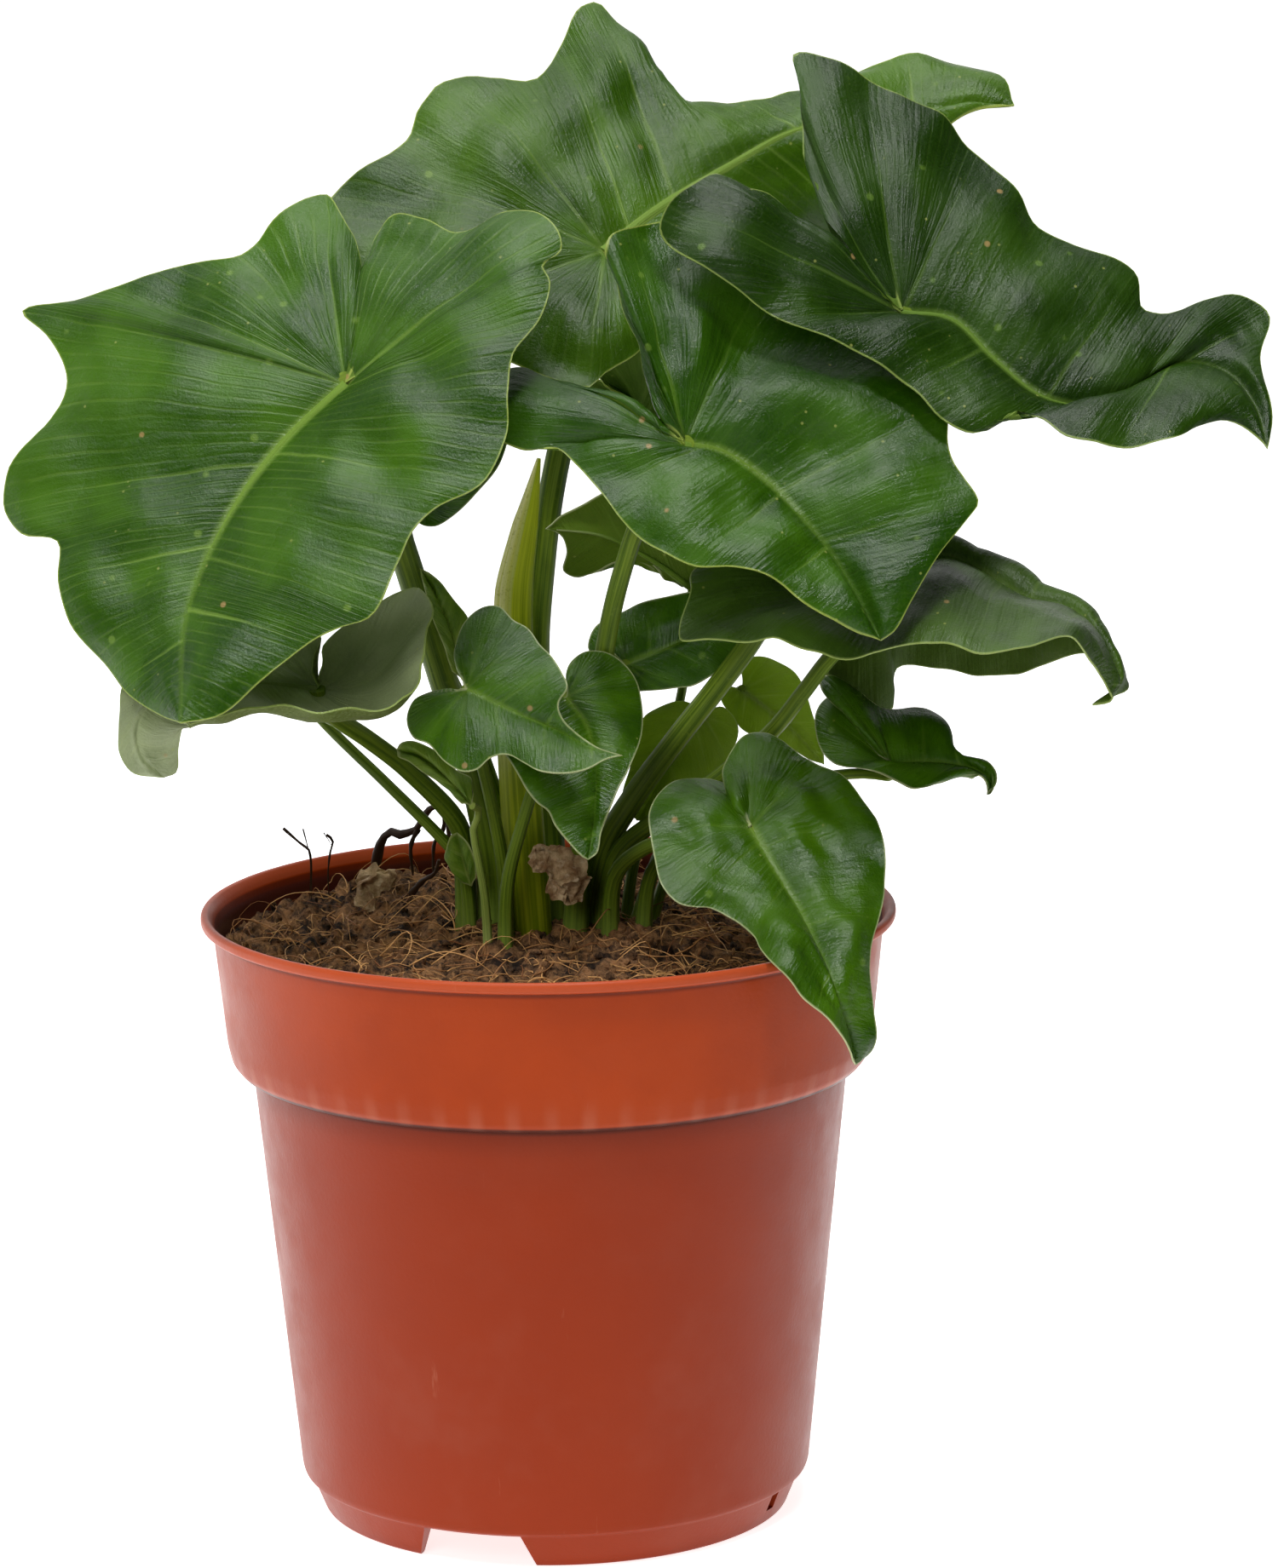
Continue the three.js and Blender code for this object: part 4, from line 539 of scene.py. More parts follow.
def unit(vectors):
    length = np.linalg.norm(vectors, axis=-1, keepdims=True)
    return vectors / np.maximum(length, 1e-9)


class Curve:
    """A smooth centripetal line through drawn points, asked for points at shares of its length."""

    STEPS = 24

    def __init__(self, drawn):
        drawn = np.array(drawn, float)
        ends = np.vstack([2 * drawn[0] - drawn[1], drawn, 2 * drawn[-1] - drawn[-2]])
        stretches = [self.stretch(ends[k:k + 4]) for k in range(len(drawn) - 1)]
        self.line = np.vstack([*stretches, drawn[-1:]])
        steps = np.linalg.norm(np.diff(self.line, axis=0), axis=1)
        reach = np.concatenate([[0], np.cumsum(steps)])
        self.length = reach[-1]
        self.shares = reach / self.length
        self.marks = self.shares[::self.STEPS]

    def stretch(self, four):
        before, first, last, after = four
        gaps = np.sqrt(np.maximum(np.linalg.norm(np.diff(four, axis=0), axis=1), 1e-6))
        middle = (last - first) / gaps[1]
        start = (first - before) / gaps[0] - (last - before) / (gaps[0] + gaps[1]) + middle
        end = middle - (after - first) / (gaps[1] + gaps[2]) + (after - last) / gaps[2]
        start, end = start * gaps[1], end * gaps[1]
        t = np.arange(self.STEPS)[:, None] / self.STEPS
        square = -3 * first + 3 * last - 2 * start - end
        cube = 2 * first - 2 * last + start + end
        return first + start * t + square * t ** 2 + cube * t ** 3

    def at(self, shares):
        return np.stack([np.interp(shares, self.shares, self.line[:, k]) for k in range(3)], axis=-1)


def waves(points, wavelength, seed, count=9):
    """Smooth noise, mostly between -1 and 1, with bumps about a wavelength apart."""
    random = np.random.default_rng(seed)
    total = np.zeros(points.shape[:-1])
    for _ in range(count):
        heading = unit(random.normal(size=3)) * 2 * math.pi / wavelength * random.uniform(0.7, 1.4)
        total += np.sin(points @ heading + random.uniform(0, 2 * math.pi))
    return total / math.sqrt(count)


def faded(values, low, high):
    """0 below low, 1 above high and smooth between."""
    share = np.clip((values - low) / (high - low), 0, 1)
    return share * share * (3 - 2 * share)


def bell(values, width):
    """1 at 0, falling off on both sides."""
    return np.exp(-(values / width) ** 2)


# Meshes
class Shape:
    """Points and faces gathered for one object, with three sets of surface coordinates."""

    MAPS = ("veins", "sizes", "rib")

    def __init__(self):
        self.points = []
        self.count = 0
        self.faces = []
        self.slots = []
        self.maps = []

    def add_points(self, points):
        points = np.asarray(points, float).reshape(-1, 3)
        self.points.append(points)
        self.count += len(points)
        return self.count - len(points)

    def add_face(self, corners, slot, maps):
        self.faces.append(tuple(int(c) for c in corners))
        self.slots.append(slot)
        self.maps.extend(maps)


def new_object(name, points, faces, materials, slots=None, maps=None, sharp=0):
    """An object of points in mm; edges sharper than the angle sharp, in degrees, are shaded as edges."""
    mesh = bpy.data.meshes.new(name)
    metres = (np.asarray(points, float) + [AXIS_X, 0, 0]) / 1000
    mesh.from_pydata(metres.tolist(), [], faces)
    for material in materials:
        mesh.materials.append(material)
    if slots is not None:
        mesh.polygons.foreach_set("material_index", np.array(slots, np.int32))
    if maps is not None:
        values = np.array(maps, np.float32)
        for k, map_name in enumerate(Shape.MAPS):
            layer = mesh.uv_layers.new(name=map_name)
            layer.data.foreach_set("uv", values[:, 2 * k:2 * k + 2].ravel())
    mesh.shade_smooth()
    if sharp:
        mesh.set_sharp_from_angle(angle=math.radians(sharp))
    mesh.update()
    obj = bpy.data.objects.new(name, mesh)
    bpy.context.scene.collection.objects.link(obj)
    return obj


def shape_object(name, shape, materials, sharp=50):
    return new_object(name, np.vstack(shape.points), shape.faces, materials, shape.slots, shape.maps, sharp)


# Leaf blades
UPPER, UNDER, EDGE, STALK = range(4)


def upper_side(leaf):
    return unit(np.array(leaf["face"], float))


def point_on_leaf(leaf, drawn):
    """A drawn point on the slanting plane of its leaf, moved back by the point's extra depth."""
    right, up, extra = (*drawn, 0)[:3]
    at_right, at_up, at_depth = leaf["at"]
    face = leaf["face"]
    lean = leaf.get("lean", [face[0] / -face[1], face[2] / -face[1]])
    return placed(right, up, at_depth + lean[0] * (right - at_right) + lean[1] * (up - at_up) + extra)


def rib_stations(leaf):
    """Where the veins leave the midrib; with a sweep above 1 they lean towards the tip."""
    _, rib_veins, rows, _ = DETAIL[leaf["size"]]
    return np.linspace(0, 1, rib_veins * rows + 1) ** leaf["sweep"]


def half_blade(leaf, side, rib, tip):
    """One half as a grid of rows, each a vein from the rib to the margin, with its vein coordinate."""
    fan_veins, rib_veins, rows, cells = DETAIL[leaf["size"]]
    half = leaf[("first", "second")[side]]
    margin = Curve([point_on_leaf(leaf, p) for p in half] + [tip])
    bends = np.array([p[3] if len(p) > 3 else 0 for p in half] + [0], float)
    split = margin.marks[np.argmin(abs(margin.marks - leaf["fan"][side]))]
    fan = np.linspace(0, split, fan_veins * rows, endpoint=False)
    along = np.concatenate([fan, np.linspace(split, 1, rib_veins * rows + 1)])
    stations = np.concatenate([np.zeros(len(fan)), rib_stations(leaf)])
    start, end = rib.at(stations), margin.at(along)
    span = end - start
    upper = upper_side(leaf)
    bend = np.interp(along, margin.marks, bends) * (1 if side == 0 else -1)
    bulge = leaf["arch"][side] * np.linalg.norm(span, axis=1, keepdims=True) * upper
    control = (start + end) / 2 + bulge + unit(np.cross(upper, span)) * bend[:, None]
    share = np.linspace(0, 1, cells + 1)[None, :, None]
    start, control, end = start[:, None], control[:, None], end[:, None]
    grid = (1 - share) ** 2 * start + 2 * share * (1 - share) * control + share ** 2 * end
    if "veins" in leaf:
        ends = margin.marks[leaf["veins"][side]]
        vein = np.interp(along, [0, *ends, 1], np.arange(len(ends) + 2))
    else:
        vein = along * (fan_veins + rib_veins) * 0.6
    return grid, vein, stations


def blade_sheet(leaf):
    """A blade's middle sheet: its points, those of the rib first, and for each half the point numbers
    of its grid, the grid itself, the vein coordinate and the place on the rib of each row."""
    rib_points = [placed(*leaf["at"])] + [point_on_leaf(leaf, p) for p in leaf["rib"]]
    rib = Curve(rib_points)
    points = [rib.at(rib_stations(leaf))]
    count = len(points[0])
    tip = count - 1
    halves = []
    for side in (0, 1):
        grid, vein, stations = half_blade(leaf, side, rib, rib_points[-1])
        last, cells = grid.shape[0] - 1, grid.shape[1] - 1
        index = np.zeros((last + 1, cells + 1), int)
        index[:, 0] = np.maximum(0, np.arange(last + 1) - (last - tip))
        index[:-1, 1:] = count + np.arange(last * cells).reshape(last, cells)
        index[-1, :] = tip
        points.append(grid[:-1, 1:].reshape(-1, 3))
        count += last * cells
        halves.append((index, grid, vein + 50 * side, stations))
    return np.vstack(points), halves


def sheet_normals(points, halves):
    """The direction that each point of the sheet faces; the two halves run opposite ways round."""
    faces = []
    for side, (index, *_) in enumerate(halves):
        corners = np.stack([index[:-1, :-1], index[1:, :-1], index[1:, 1:], index[:-1, 1:]], axis=-1)
        faces.append((corners if side == 0 else corners[..., ::-1]).reshape(-1, 4))
    faces = np.vstack(faces)
    corners = points[faces]
    face_normals = np.cross(corners[:, 2] - corners[:, 0], corners[:, 3] - corners[:, 1])
    normals = np.zeros_like(points)
    for k in range(4):
        np.add.at(normals, faces[:, k], face_normals)
    return unit(normals)


def corner_facts(leaf, margin_gap, index, grid, vein, stations):
    """For each grid corner: vein coordinate, share from rib to margin, spacing of the main veins, gap to
    the margin, gap to the rib as a share of the rib's width, and place on the rib."""
    share = np.linspace(0, 1, grid.shape[1])
    step = np.linalg.norm(np.gradient(grid, axis=0), axis=2)
    spacing = step / np.maximum(np.gradient(vein), 1e-3)[:, None]
    rib_width = leaf.get("rib_width", RIB_WIDTH[leaf["size"]]) * (1 - 0.7 * stations)[:, None]
    rib_gap = np.linalg.norm(grid - grid[:, :1], axis=2) / rib_width
    facts = (vein[:, None], share[None, :], spacing, margin_gap[index], rib_gap, stations[:, None])
    return np.stack(np.broadcast_arrays(*facts), axis=-1)


def blade_relief(leaf, facts, points, seed):
    """Height in mm that veins, the soft cushions between them, and waves add to a blade."""
    vein, share, spacing, margin_gap, rib_gap = (facts[..., k] for k in range(5))
    gap = abs(vein - np.round(vein)) * spacing
    groove = -0.4 * bell(gap, 1.3) * (1 - 0.9 * share)
    cushion = leaf["cushion"] * np.minimum(spacing, 22) * (1 - np.cos(2 * math.pi * vein)) / 2
    cushion = cushion * np.sin(math.pi * share ** 0.8)
    channel = -0.45 * bell(rib_gap, 1.2)
    edge = 0.5 * share ** 3 * waves(points, 13, seed + 1)
    slow = 0.95 * waves(points, 26, seed + 2) * faded(share, 0.1, 0.5)
    ripple = 0.07 * waves(points, 5, seed + 4)
    pucker = leaf["pucker"] * waves(points, 9, seed + 3) * faded(rib_gap, 1, 5) * (1 - share ** 3)
    relief = (groove + cushion + edge + slow + ripple) * faded(rib_gap, 0.5, 4) + channel
    relief = leaf["relief"] * relief + pucker
    for right, up, radius, height in leaf["dents"]:
        reach = np.hypot(points[..., 0] - right, points[..., 2] - up)
        relief = relief + height * bell(reach, radius) * faded(margin_gap, 0, 6)
    return relief


def add_blade(shape, leaf, seed):
    """Adds a leaf's blade with its veins and waves; gives back the points and normals of its midrib."""
    points, halves = blade_sheet(leaf)
    normals = sheet_normals(points, halves)
    flipped = (normals @ upper_side(leaf)).sum() < 0
    if flipped:
        normals = -normals
    margin = np.vstack([line for index, *_ in halves for line in (points[index[0]], points[index[:, -1]])])
    margin_gap = np.array([np.linalg.norm(margin - p, axis=1).min() for p in points])
    facts = [corner_facts(leaf, margin_gap, *half) for half in halves]
    relief = np.zeros(len(points))
    for (index, *_), half_facts in zip(halves, facts):
        relief[index] = blade_relief(leaf, half_facts, points[index], seed)
    points = points + normals * relief[:, None]
    if leaf["crumple"]:
        smooth = points.copy()
        for axis in range(3):
            points[:, axis] += leaf["crumple"] * waves(smooth, 5, seed + 31 + axis)
            points[:, axis] += 0.4 * leaf["crumple"] * waves(smooth, 2, seed + 41 + axis)
    thickness = BLADE_THICKNESS * (0.6 + 0.4 * faded(margin_gap, 0, 4))
    top = shape.add_points(points + normals * thickness[:, None] / 2)
    bottom = shape.add_points(points - normals * thickness[:, None] / 2)
    for side, ((index, *_), half_facts) in enumerate(zip(halves, facts)):
        add_half(shape, index, half_facts, top, bottom, (side == 0) != flipped)
    rib = slice(len(rib_stations(leaf)))
    return points[rib], normals[rib]


def add_half(shape, index, facts, top, bottom, outward):
    """Adds the upper face, the underside and the edge strip of one half of a blade."""
    rows, cells = index.shape[0] - 1, index.shape[1] - 1

    def face(corners, slot, lift, turned):
        kept = [c for k, c in enumerate(corners) if index[c] != index[corners[k - 1]]]
        if len(kept) < 3:
            return
        if turned:
            kept = kept[::-1]
        shape.add_face([lift + index[c] for c in kept], slot, [facts[c] for c in kept])

    for i in range(rows):
        for j in range(cells):
            corners = [(i, j), (i + 1, j), (i + 1, j + 1), (i, j + 1)]
            face(corners, UPPER, top, not outward)
            face(corners, UNDER, bottom, outward)
    rim = [(0, j) for j in range(cells + 1)] + [(i, cells) for i in range(1, rows + 1)]
    for here, there in zip(rim, rim[1:]):
        if index[here] == index[there]:
            continue
        strip = [top + index[here], bottom + index[here], bottom + index[there], top + index[there]]
        strip_facts = [facts[here], facts[here], facts[there], facts[there]]
        if outward:
            strip, strip_facts = strip[::-1], strip_facts[::-1]
        shape.add_face(strip, EDGE, strip_facts)


# Round stalks
def tube(shape, path, radii, sides, slot, squeeze=None):
    """Adds a closed tube through the points of a path, with a radius for each point."""
    path = np.asarray(path, float)
    ahead = unit(np.gradient(path, axis=0))
    across = unit(np.cross(ahead[0], [0.3, 1, 0.2]))
    end = len(path) - 1
    rings = []
    angles = 2 * math.pi * np.arange(sides) / sides
    for k, (centre, direction) in enumerate(zip(path, ahead)):
        across = unit(across - direction * (across @ direction))
        other = np.cross(direction, across)
        radius = radii[k] * (1 if squeeze is None else squeeze(k / end, angles))
        to_side, to_other = (np.cos(angles) * radius)[:, None], (np.sin(angles) * radius)[:, None]
        rings.append(centre + to_side * across + to_other * other)
    first = shape.add_points(np.vstack(rings))
    reach = np.concatenate([[0], np.cumsum(np.linalg.norm(np.diff(path, axis=0), axis=1))])

    def corner(k, j):
        return [j / sides, k / end, reach[k], radii[k], 0, 0]

    for k in range(end):
        for j in range(sides):
            here, turn = first + k * sides + j, first + k * sides + (j + 1) % sides
            corners = [corner(k, j), corner(k, j + 1), corner(k + 1, j + 1), corner(k + 1, j)]
            shape.add_face([here, turn, turn + sides, here + sides], slot, corners)
    around = range(sides)
    shape.add_face([first + j for j in around][::-1], slot, [corner(0, j) for j in around][::-1])
    shape.add_face([first + end * sides + j for j in around], slot, [corner(end, j) for j in around])


def stalk_squeeze(share, angles):
    """A shallow channel along one side of the stalk."""
    return 1 - 0.1 * bell(angles - math.pi, 0.45) + 0.02 * np.cos(5 * angles)


def add_stalk(shape, leaf):
    """The stalk runs from inside the soil to the blade, tapers and is thicker just above its start."""
    base = leaf["base"]
    junction = placed(*leaf["at"])
    upper = upper_side(leaf)
    curve = Curve([
        [*base, STALK_ROOT], [*base, STALK_ROOT + 10], *[placed(*p) for p in leaf["path"]],
        junction - 5 * upper, junction - 0.1 * upper,
    ])
    at_base, at_blade = leaf["radius"]
    share = np.linspace(0, 1, max(16, round(curve.length / 3)))
    radii = at_base + (at_blade - at_base) * np.sqrt(share)
    radii = radii * (1 + 0.2 * bell(share * curve.length, 30))
    tube(shape, curve.at(share), radii, STALK_SIDES, STALK, stalk_squeeze)


def add_rib(shape, leaf, points, normals):
    """The midrib stands out under the blade as a tapering ridge."""
    radii = 0.8 * leaf["radius"][1] * (1 - 0.85 * np.linspace(0, 1, len(points)))
    last = round(0.93 * len(points))
    sunk = points - normals * (0.55 * radii + 0.1)[:, None]
    tube(shape, sunk[:last:2], radii[:last:2], RIB_SIDES, UNDER)


def leaf_object(name, leaf, materials, seed):
    """A blade, with its stalk and midrib where the leaf has a stalk; the seed sets its waves."""
    shape = Shape()
    rib_points, rib_normals = add_blade(shape, leaf, seed)
    if "path" in leaf:
        add_stalk(shape, leaf)
        add_rib(shape, leaf, rib_points, rib_normals)
    return shape_object(name + "_grown", shape, materials)


# Materials
def linear(red, green, blue):
    """A colour given as it looks on a screen, 0 to 255."""
    values = [v / 255 for v in (red, green, blue)]
    return tuple(v / 12.92 if v <= 0.04045 else ((v + 0.055) / 1.055) ** 2.4 for v in values) + (1,)


class Nodes:
    """The node tree of a material or of the world, with short ways to add its nodes."""

    def __init__(self, owner, shader="Principled BSDF"):
        owner.use_nodes = True
        self.owner = owner
        self.tree = owner.node_tree
        self.shader = self.tree.nodes[shader]

    def node(self, kind, **settings):
        node = self.tree.nodes.new("ShaderNode" + kind)
        for key, value in settings.items():
            setattr(node, key, value)
        return node

    def put(self, socket, value):
        if isinstance(value, bpy.types.NodeSocket):
            self.tree.links.new(value, socket)
        else:
            socket.default_value = value

    def split(self, vector):
        """The three parts of a vector."""
        node = self.node("SeparateXYZ")
        self.put(node.inputs[0], vector)
        return list(node.outputs)

    def surface(self, name):
        """The two surface coordinates of one map."""
        return self.split(self.node("UVMap", uv_map=name).outputs[0])[:2]

    def place(self):
        return self.node("TexCoord").outputs["Object"]

    def math(self, operation, first, second=0.0, third=0.0):
        node = self.node("Math", operation=operation)
        for socket, value in zip(node.inputs, (first, second, third)):
            self.put(socket, value)
        return node.outputs[0]

    def times(self, product, *others):
        for other in others:
            product = self.math("MULTIPLY", product, other)
        return product

    def step(self, value, low, high, start=0.0, end=1.0):
        """start below low, end above high, smooth between."""
        node = self.node("MapRange", interpolation_type="SMOOTHSTEP")
        for socket, number in zip(node.inputs, (value, low, high, start, end)):
            self.put(socket, number)
        return node.outputs[0]

    def noise(self, scale, detail=3.0, roughness=0.5, vector=None, stretch=None):
        vector = vector or self.place()
        if stretch:
            mapping = self.node("Mapping")
            self.put(mapping.inputs["Vector"], vector)
            mapping.inputs["Scale"].default_value = stretch
            vector = mapping.outputs[0]
        node = self.node("TexNoise")
        self.put(node.inputs["Vector"], vector)
        node.inputs["Scale"].default_value = scale
        node.inputs["Detail"].default_value = detail
        node.inputs["Roughness"].default_value = roughness
        return node.outputs[0]

    def surface_noise(self, first, second, scales, detail=2, roughness=0.5):
        """Noise over two surface coordinates, each with a scale of its own."""
        vector = self.join(self.times(first, scales[0]), self.times(second, scales[1]))
        return self.noise(1, detail, roughness, vector)

    def mix(self, share, first, second):
        node = self.node("Mix", data_type="RGBA")
        self.put(node.inputs[0], share)
        self.put(node.inputs[6], first)
        self.put(node.inputs[7], second)
        return node.outputs[2]

    def paint(self, base, colour, *masks):
        """The base with a colour laid over it, as strongly as the product of the masks."""
        return self.mix(self.times(*masks), base, colour)

    def join(self, first, second, third=0.0):
        node = self.node("CombineXYZ")
        for socket, value in zip(node.inputs, (first, second, third)):
            self.put(socket, value)
        return node.outputs[0]

    def set(self, **values):
        for key, value in values.items():
            self.put(self.shader.inputs[key.replace("_", " ").title().replace("Ior", "IOR")], value)

    def roughen(self, low, high, scale, detail=3.0, roughness=0.5):
        """Gives the surface patches between two values of roughness."""
        self.set(roughness=self.step(self.noise(scale, detail, roughness), 0.3, 0.7, low, high))

    def bump(self, height, strength, distance):
        node = self.node("Bump")
        node.inputs["Strength"].default_value = strength
        node.inputs["Distance"].default_value = distance
        self.put(node.inputs["Height"], height)
        self.set(normal=node.outputs[0])
        return node.outputs[0]

    def let_light_through(self, share, colour, normal):
        glow = self.node("BsdfTranslucent")
        self.put(glow.inputs["Color"], colour)
        self.put(glow.inputs["Normal"], normal)
        both = self.node("MixShader")
        both.inputs[0].default_value = share
        self.put(both.inputs[1], self.shader.outputs[0])
        self.put(both.inputs[2], glow.outputs[0])
        self.put(self.tree.nodes["Material Output"].inputs["Surface"], both.outputs[0])


def new_material(name):
    return Nodes(bpy.data.materials.new(name))


# Colours of a leaf's upper side in the shade and in the light, its veins, margin and underside; then
# roughness, shine, strength of main veins and fine lines, and share of light that comes through
PLAIN_LOOK = {
    "deep": (42, 74, 6), "light": (80, 120, 18), "vein": (140, 172, 76), "margin": (176, 194, 92),
    "under": (92, 120, 40), "rough": 0.24, "shine": 0.42, "lines": 0.4, "fine": 0.06, "through": 0.24,
}
LEAF_LOOKS = {
    "green": {"lines": 0.45, "fine": 0.1},
    "veined": {
        "deep": (34, 70, 3), "light": (72, 116, 10), "vein": (130, 164, 66), "rough": 0.22, "lines": 0.62,
        "fine": 0.2,
    },
    "deep": {"deep": (30, 66, 3), "light": (66, 110, 12), "vein": (118, 152, 56), "shine": 0.48},
    # Darker greens with less shine: painted shade on the upper right leaf.
    "shade": {
        "deep": (24, 50, 4), "light": (52, 86, 14), "vein": (112, 146, 56), "margin": (156, 178, 90),
        "rough": 0.26, "shine": 0.38, "fine": 0.07,
    },
    "bright": {
        "deep": (42, 80, 3), "light": (76, 120, 8), "vein": (124, 160, 56), "margin": (200, 208, 150),
        "under": (98, 124, 34), "rough": 0.22, "shine": 0.6, "lines": 0.35,
    },
    # Pale, bright greens: painted light from behind on the two inner leaves, besides the light that comes
    # through.
    "lit": {
        "deep": (124, 152, 44), "light": (160, 184, 70), "vein": (190, 206, 120), "margin": (200, 208, 150),
        "under": (110, 132, 50), "rough": 0.42, "shine": 0.3, "lines": 0.6, "fine": 0.15, "through": 0.58,
    },
    "dark": {
        "deep": (46, 70, 18), "light": (76, 108, 30), "vein": (108, 138, 54), "margin": (156, 176, 92),
        "under": (62, 84, 20), "rough": 0.28, "shine": 0.4, "lines": 0.35, "through": 0.2,
    },
    # Pale grey-greens: a painted sheen on the lower left leaf, and painted light where the upper left leaf
    # shades it.
    "painted_sheen": {
        "deep": (134, 146, 102), "light": (174, 188, 134), "vein": (180, 194, 134),
        "margin": (156, 176, 92), "under": (86, 100, 40), "rough": 0.34, "shine": 0.8, "lines": 0.35,
        "fine": 0.08, "through": 0.2,
    },
    "fresh": {
        "deep": (84, 120, 26), "light": (132, 160, 46), "vein": (176, 192, 100), "margin": (200, 206, 136),
        "under": (124, 148, 56), "rough": 0.4, "shine": 0.4, "fine": 0.15, "through": 0.35,
    },
}

# Stalk colours: in the shade, in the light, and at the soil
STALK_LOOKS = {
    "green": (linear(66, 92, 12), linear(124, 148, 40), linear(150, 170, 80)),
    "fresh": (linear(104, 130, 44), linear(160, 176, 84), linear(176, 184, 120)),
}


def vein_masks(n):
    """The vein coordinate and the share from rib to margin at a point of a blade, and how strong main
    veins, fine lines, midrib and margin are there."""
    vein, share = n.surface("veins")
    spacing, margin_gap = n.surface("sizes")
    rib_gap, station = n.surface("rib")
    wander = n.times(n.math("SUBTRACT", n.noise(32, 2), 0.5), 0.12)
    vein = n.math("ADD", vein, wander)
    main_gap = n.times(n.math("PINGPONG", vein, 0.5), spacing)
    width = n.step(share, 0, 0.85, 1, 0.3)
    main = n.step(n.math("DIVIDE", main_gap, width), 0.1, 0.95, 1, 0)
    each = n.noise(1, 0, 0.5, n.join(n.math("ROUND", vein), 0.3))
    main = n.times(main, n.step(each, 0.35, 0.6, 0.45, 1), n.step(share, 0.2, 0.95, 1, 0.1))
    line_gap = n.math("PINGPONG", n.times(vein, FINE_LINES), 0.5)
    broken = n.step(n.surface_noise(vein, share, (5, 3), 3, 0.6), 0.35, 0.65, 0.2, 1)
    room = n.step(spacing, 0.5 * FINE_LINES, 1.1 * FINE_LINES)
    fine = n.times(n.step(line_gap, 0.04, 0.14, 1, 0), broken, room)
    rib = n.times(n.step(rib_gap, 0.2, 1.2, 1, 0), n.step(station, 0.15, 0.9, 1, 0.25))
    return vein, share, main, fine, rib, n.step(margin_gap, 0.1, 0.5, 1, 0)


def flecks(n, scale, size, seldom):
    """Small round marks; the higher the last number, the fewer there are."""
    cells = n.node("TexVoronoi")
    cells.inputs["Scale"].default_value = scale
    n.put(cells.inputs["Vector"], n.place())
    dot = n.step(cells.outputs["Distance"], 0.5 * size, size, 1, 0)
    return n.times(dot, n.step(n.noise(0.6 * scale, 1), seldom, seldom + 0.05))


def lines_and_cells(n, vein, share):
    """Fine ridges that follow the veins, broken up a little by the cells between them."""
    ridges = n.surface_noise(vein, share, (16, 2.5))
    return n.math("ADD", ridges, n.times(n.noise(380, 3, 0.6), 0.45))


def blade_material(name, look, under=False):
    """Patches of two greens with veins, a pale margin and flecks; the underside has one green."""
    n = new_material(name)
    vein, share, main, fine, rib, margin = vein_masks(n)
    base = look["under"]
    if not under:
        patches = n.noise(30, 3, 0.55)
        across = n.surface_noise(vein, share, (1.6, 1.4))
        bright = n.step(n.math("ADD", n.times(patches, 0.6), n.times(across, 0.4)), 0.38, 0.66)
        base = n.paint(look["deep"], look["light"], bright)
    grain = n.noise(1500, 4, 0.65)
    base = n.paint(base, look["light"], n.step(grain, 0.35, 0.75, 0, 0.3))
    for mask, strength in ((fine, look["fine"]), (main, look["lines"]), (rib, 0.3 + 0.7 * look["lines"])):
        base = n.paint(base, look["vein"], mask, strength)
    base = n.paint(base, look["margin"], margin, 0.7)
    base = n.paint(base, linear(176, 184, 96), flecks(n, 190, 0.09, 0.5), 0.5)
    base = n.paint(base, look["vein"], flecks(n, 100, 0.13, 0.5), 0.5)
    base = n.paint(base, linear(176, 146, 92), flecks(n, 62, 0.06, 0.47), 0.75)
    n.set(base_color=base, specular_ior_level=0.12 if under else look["shine"])
    rough = look["rough"] + (0.2 if under else 0)
    n.roughen(rough - 0.04, rough + 0.12, 60, 4, 0.6)
    height = n.math("ADD", lines_and_cells(n, vein, share), n.times(grain, 0.5))
    height = n.math("SUBTRACT", height, n.times(fine, 1.2 * look["fine"]))
    n.let_light_through(look["through"], look["light"], n.bump(height, 0.6, 0.0006))
    return n.owner


def stalk_material(name, dark, light, base_tone):
    """Streaked along the stalk, with its own tone near the start and lighter near the blade."""
    n = new_material(name)
    around, along = n.surface("veins")
    reach, _ = n.surface("sizes")
    streaks = n.surface_noise(around, reach, (22, 0.02), 4, 0.6)
    tone = n.paint(dark, light, n.step(streaks, 0.35, 0.7))
    tone = n.paint(tone, light, n.step(n.noise(700, 3, 0.6), 0.55, 0.75, 0, 0.35))
    tone = n.paint(tone, base_tone, n.step(reach, 6, 26, 0.6, 0))
    tone = n.paint(tone, light, n.step(along, 0.9, 1, 0, 0.4))
    n.set(base_color=tone, specular_ior_level=0.25)
    n.roughen(0.45, 0.6, 200)
    n.let_light_through(0.12, light, n.bump(streaks, 0.3, 0.0003))
    return n.owner


def sheath_material():
    """The rolled leaf is olive, with a painted cream highlight and fine dots on its left side, most of all
    near the top.
    """
    n = new_material("sheath")
    around, _ = n.surface("veins")
    reach, _ = n.surface("sizes")
    streaks = n.surface_noise(around, reach, (30, 0.015), 4, 0.6)
    green = n.paint(linear(132, 154, 10), linear(196, 206, 44), n.step(streaks, 0.35, 0.7))
    painted_highlight = n.paint(linear(226, 224, 130), linear(252, 248, 204), n.step(streaks, 0.35, 0.65))
    painted_highlight = n.paint(painted_highlight, linear(170, 172, 70), n.step(n.noise(1500, 2, 0.5), 0.55, 0.7, 0, 0.45))
    # Painted highlight: the side of the rolled leaf that faces left turns cream, near the top.
    sideways = n.split(n.node("NewGeometry").outputs["Normal"])[0]
    left = n.step(n.math("ADD", sideways, n.times(streaks, 0.5)), -0.3, 0.35, 1, 0)
    tone = n.paint(green, painted_highlight, left, n.step(reach, 48, 76))
    n.set(base_color=tone, specular_ior_level=0.3)
    n.roughen(0.45, 0.6, 200)
    n.let_light_through(0.45, tone, n.bump(streaks, 0.3, 0.0003))
    return n.owner


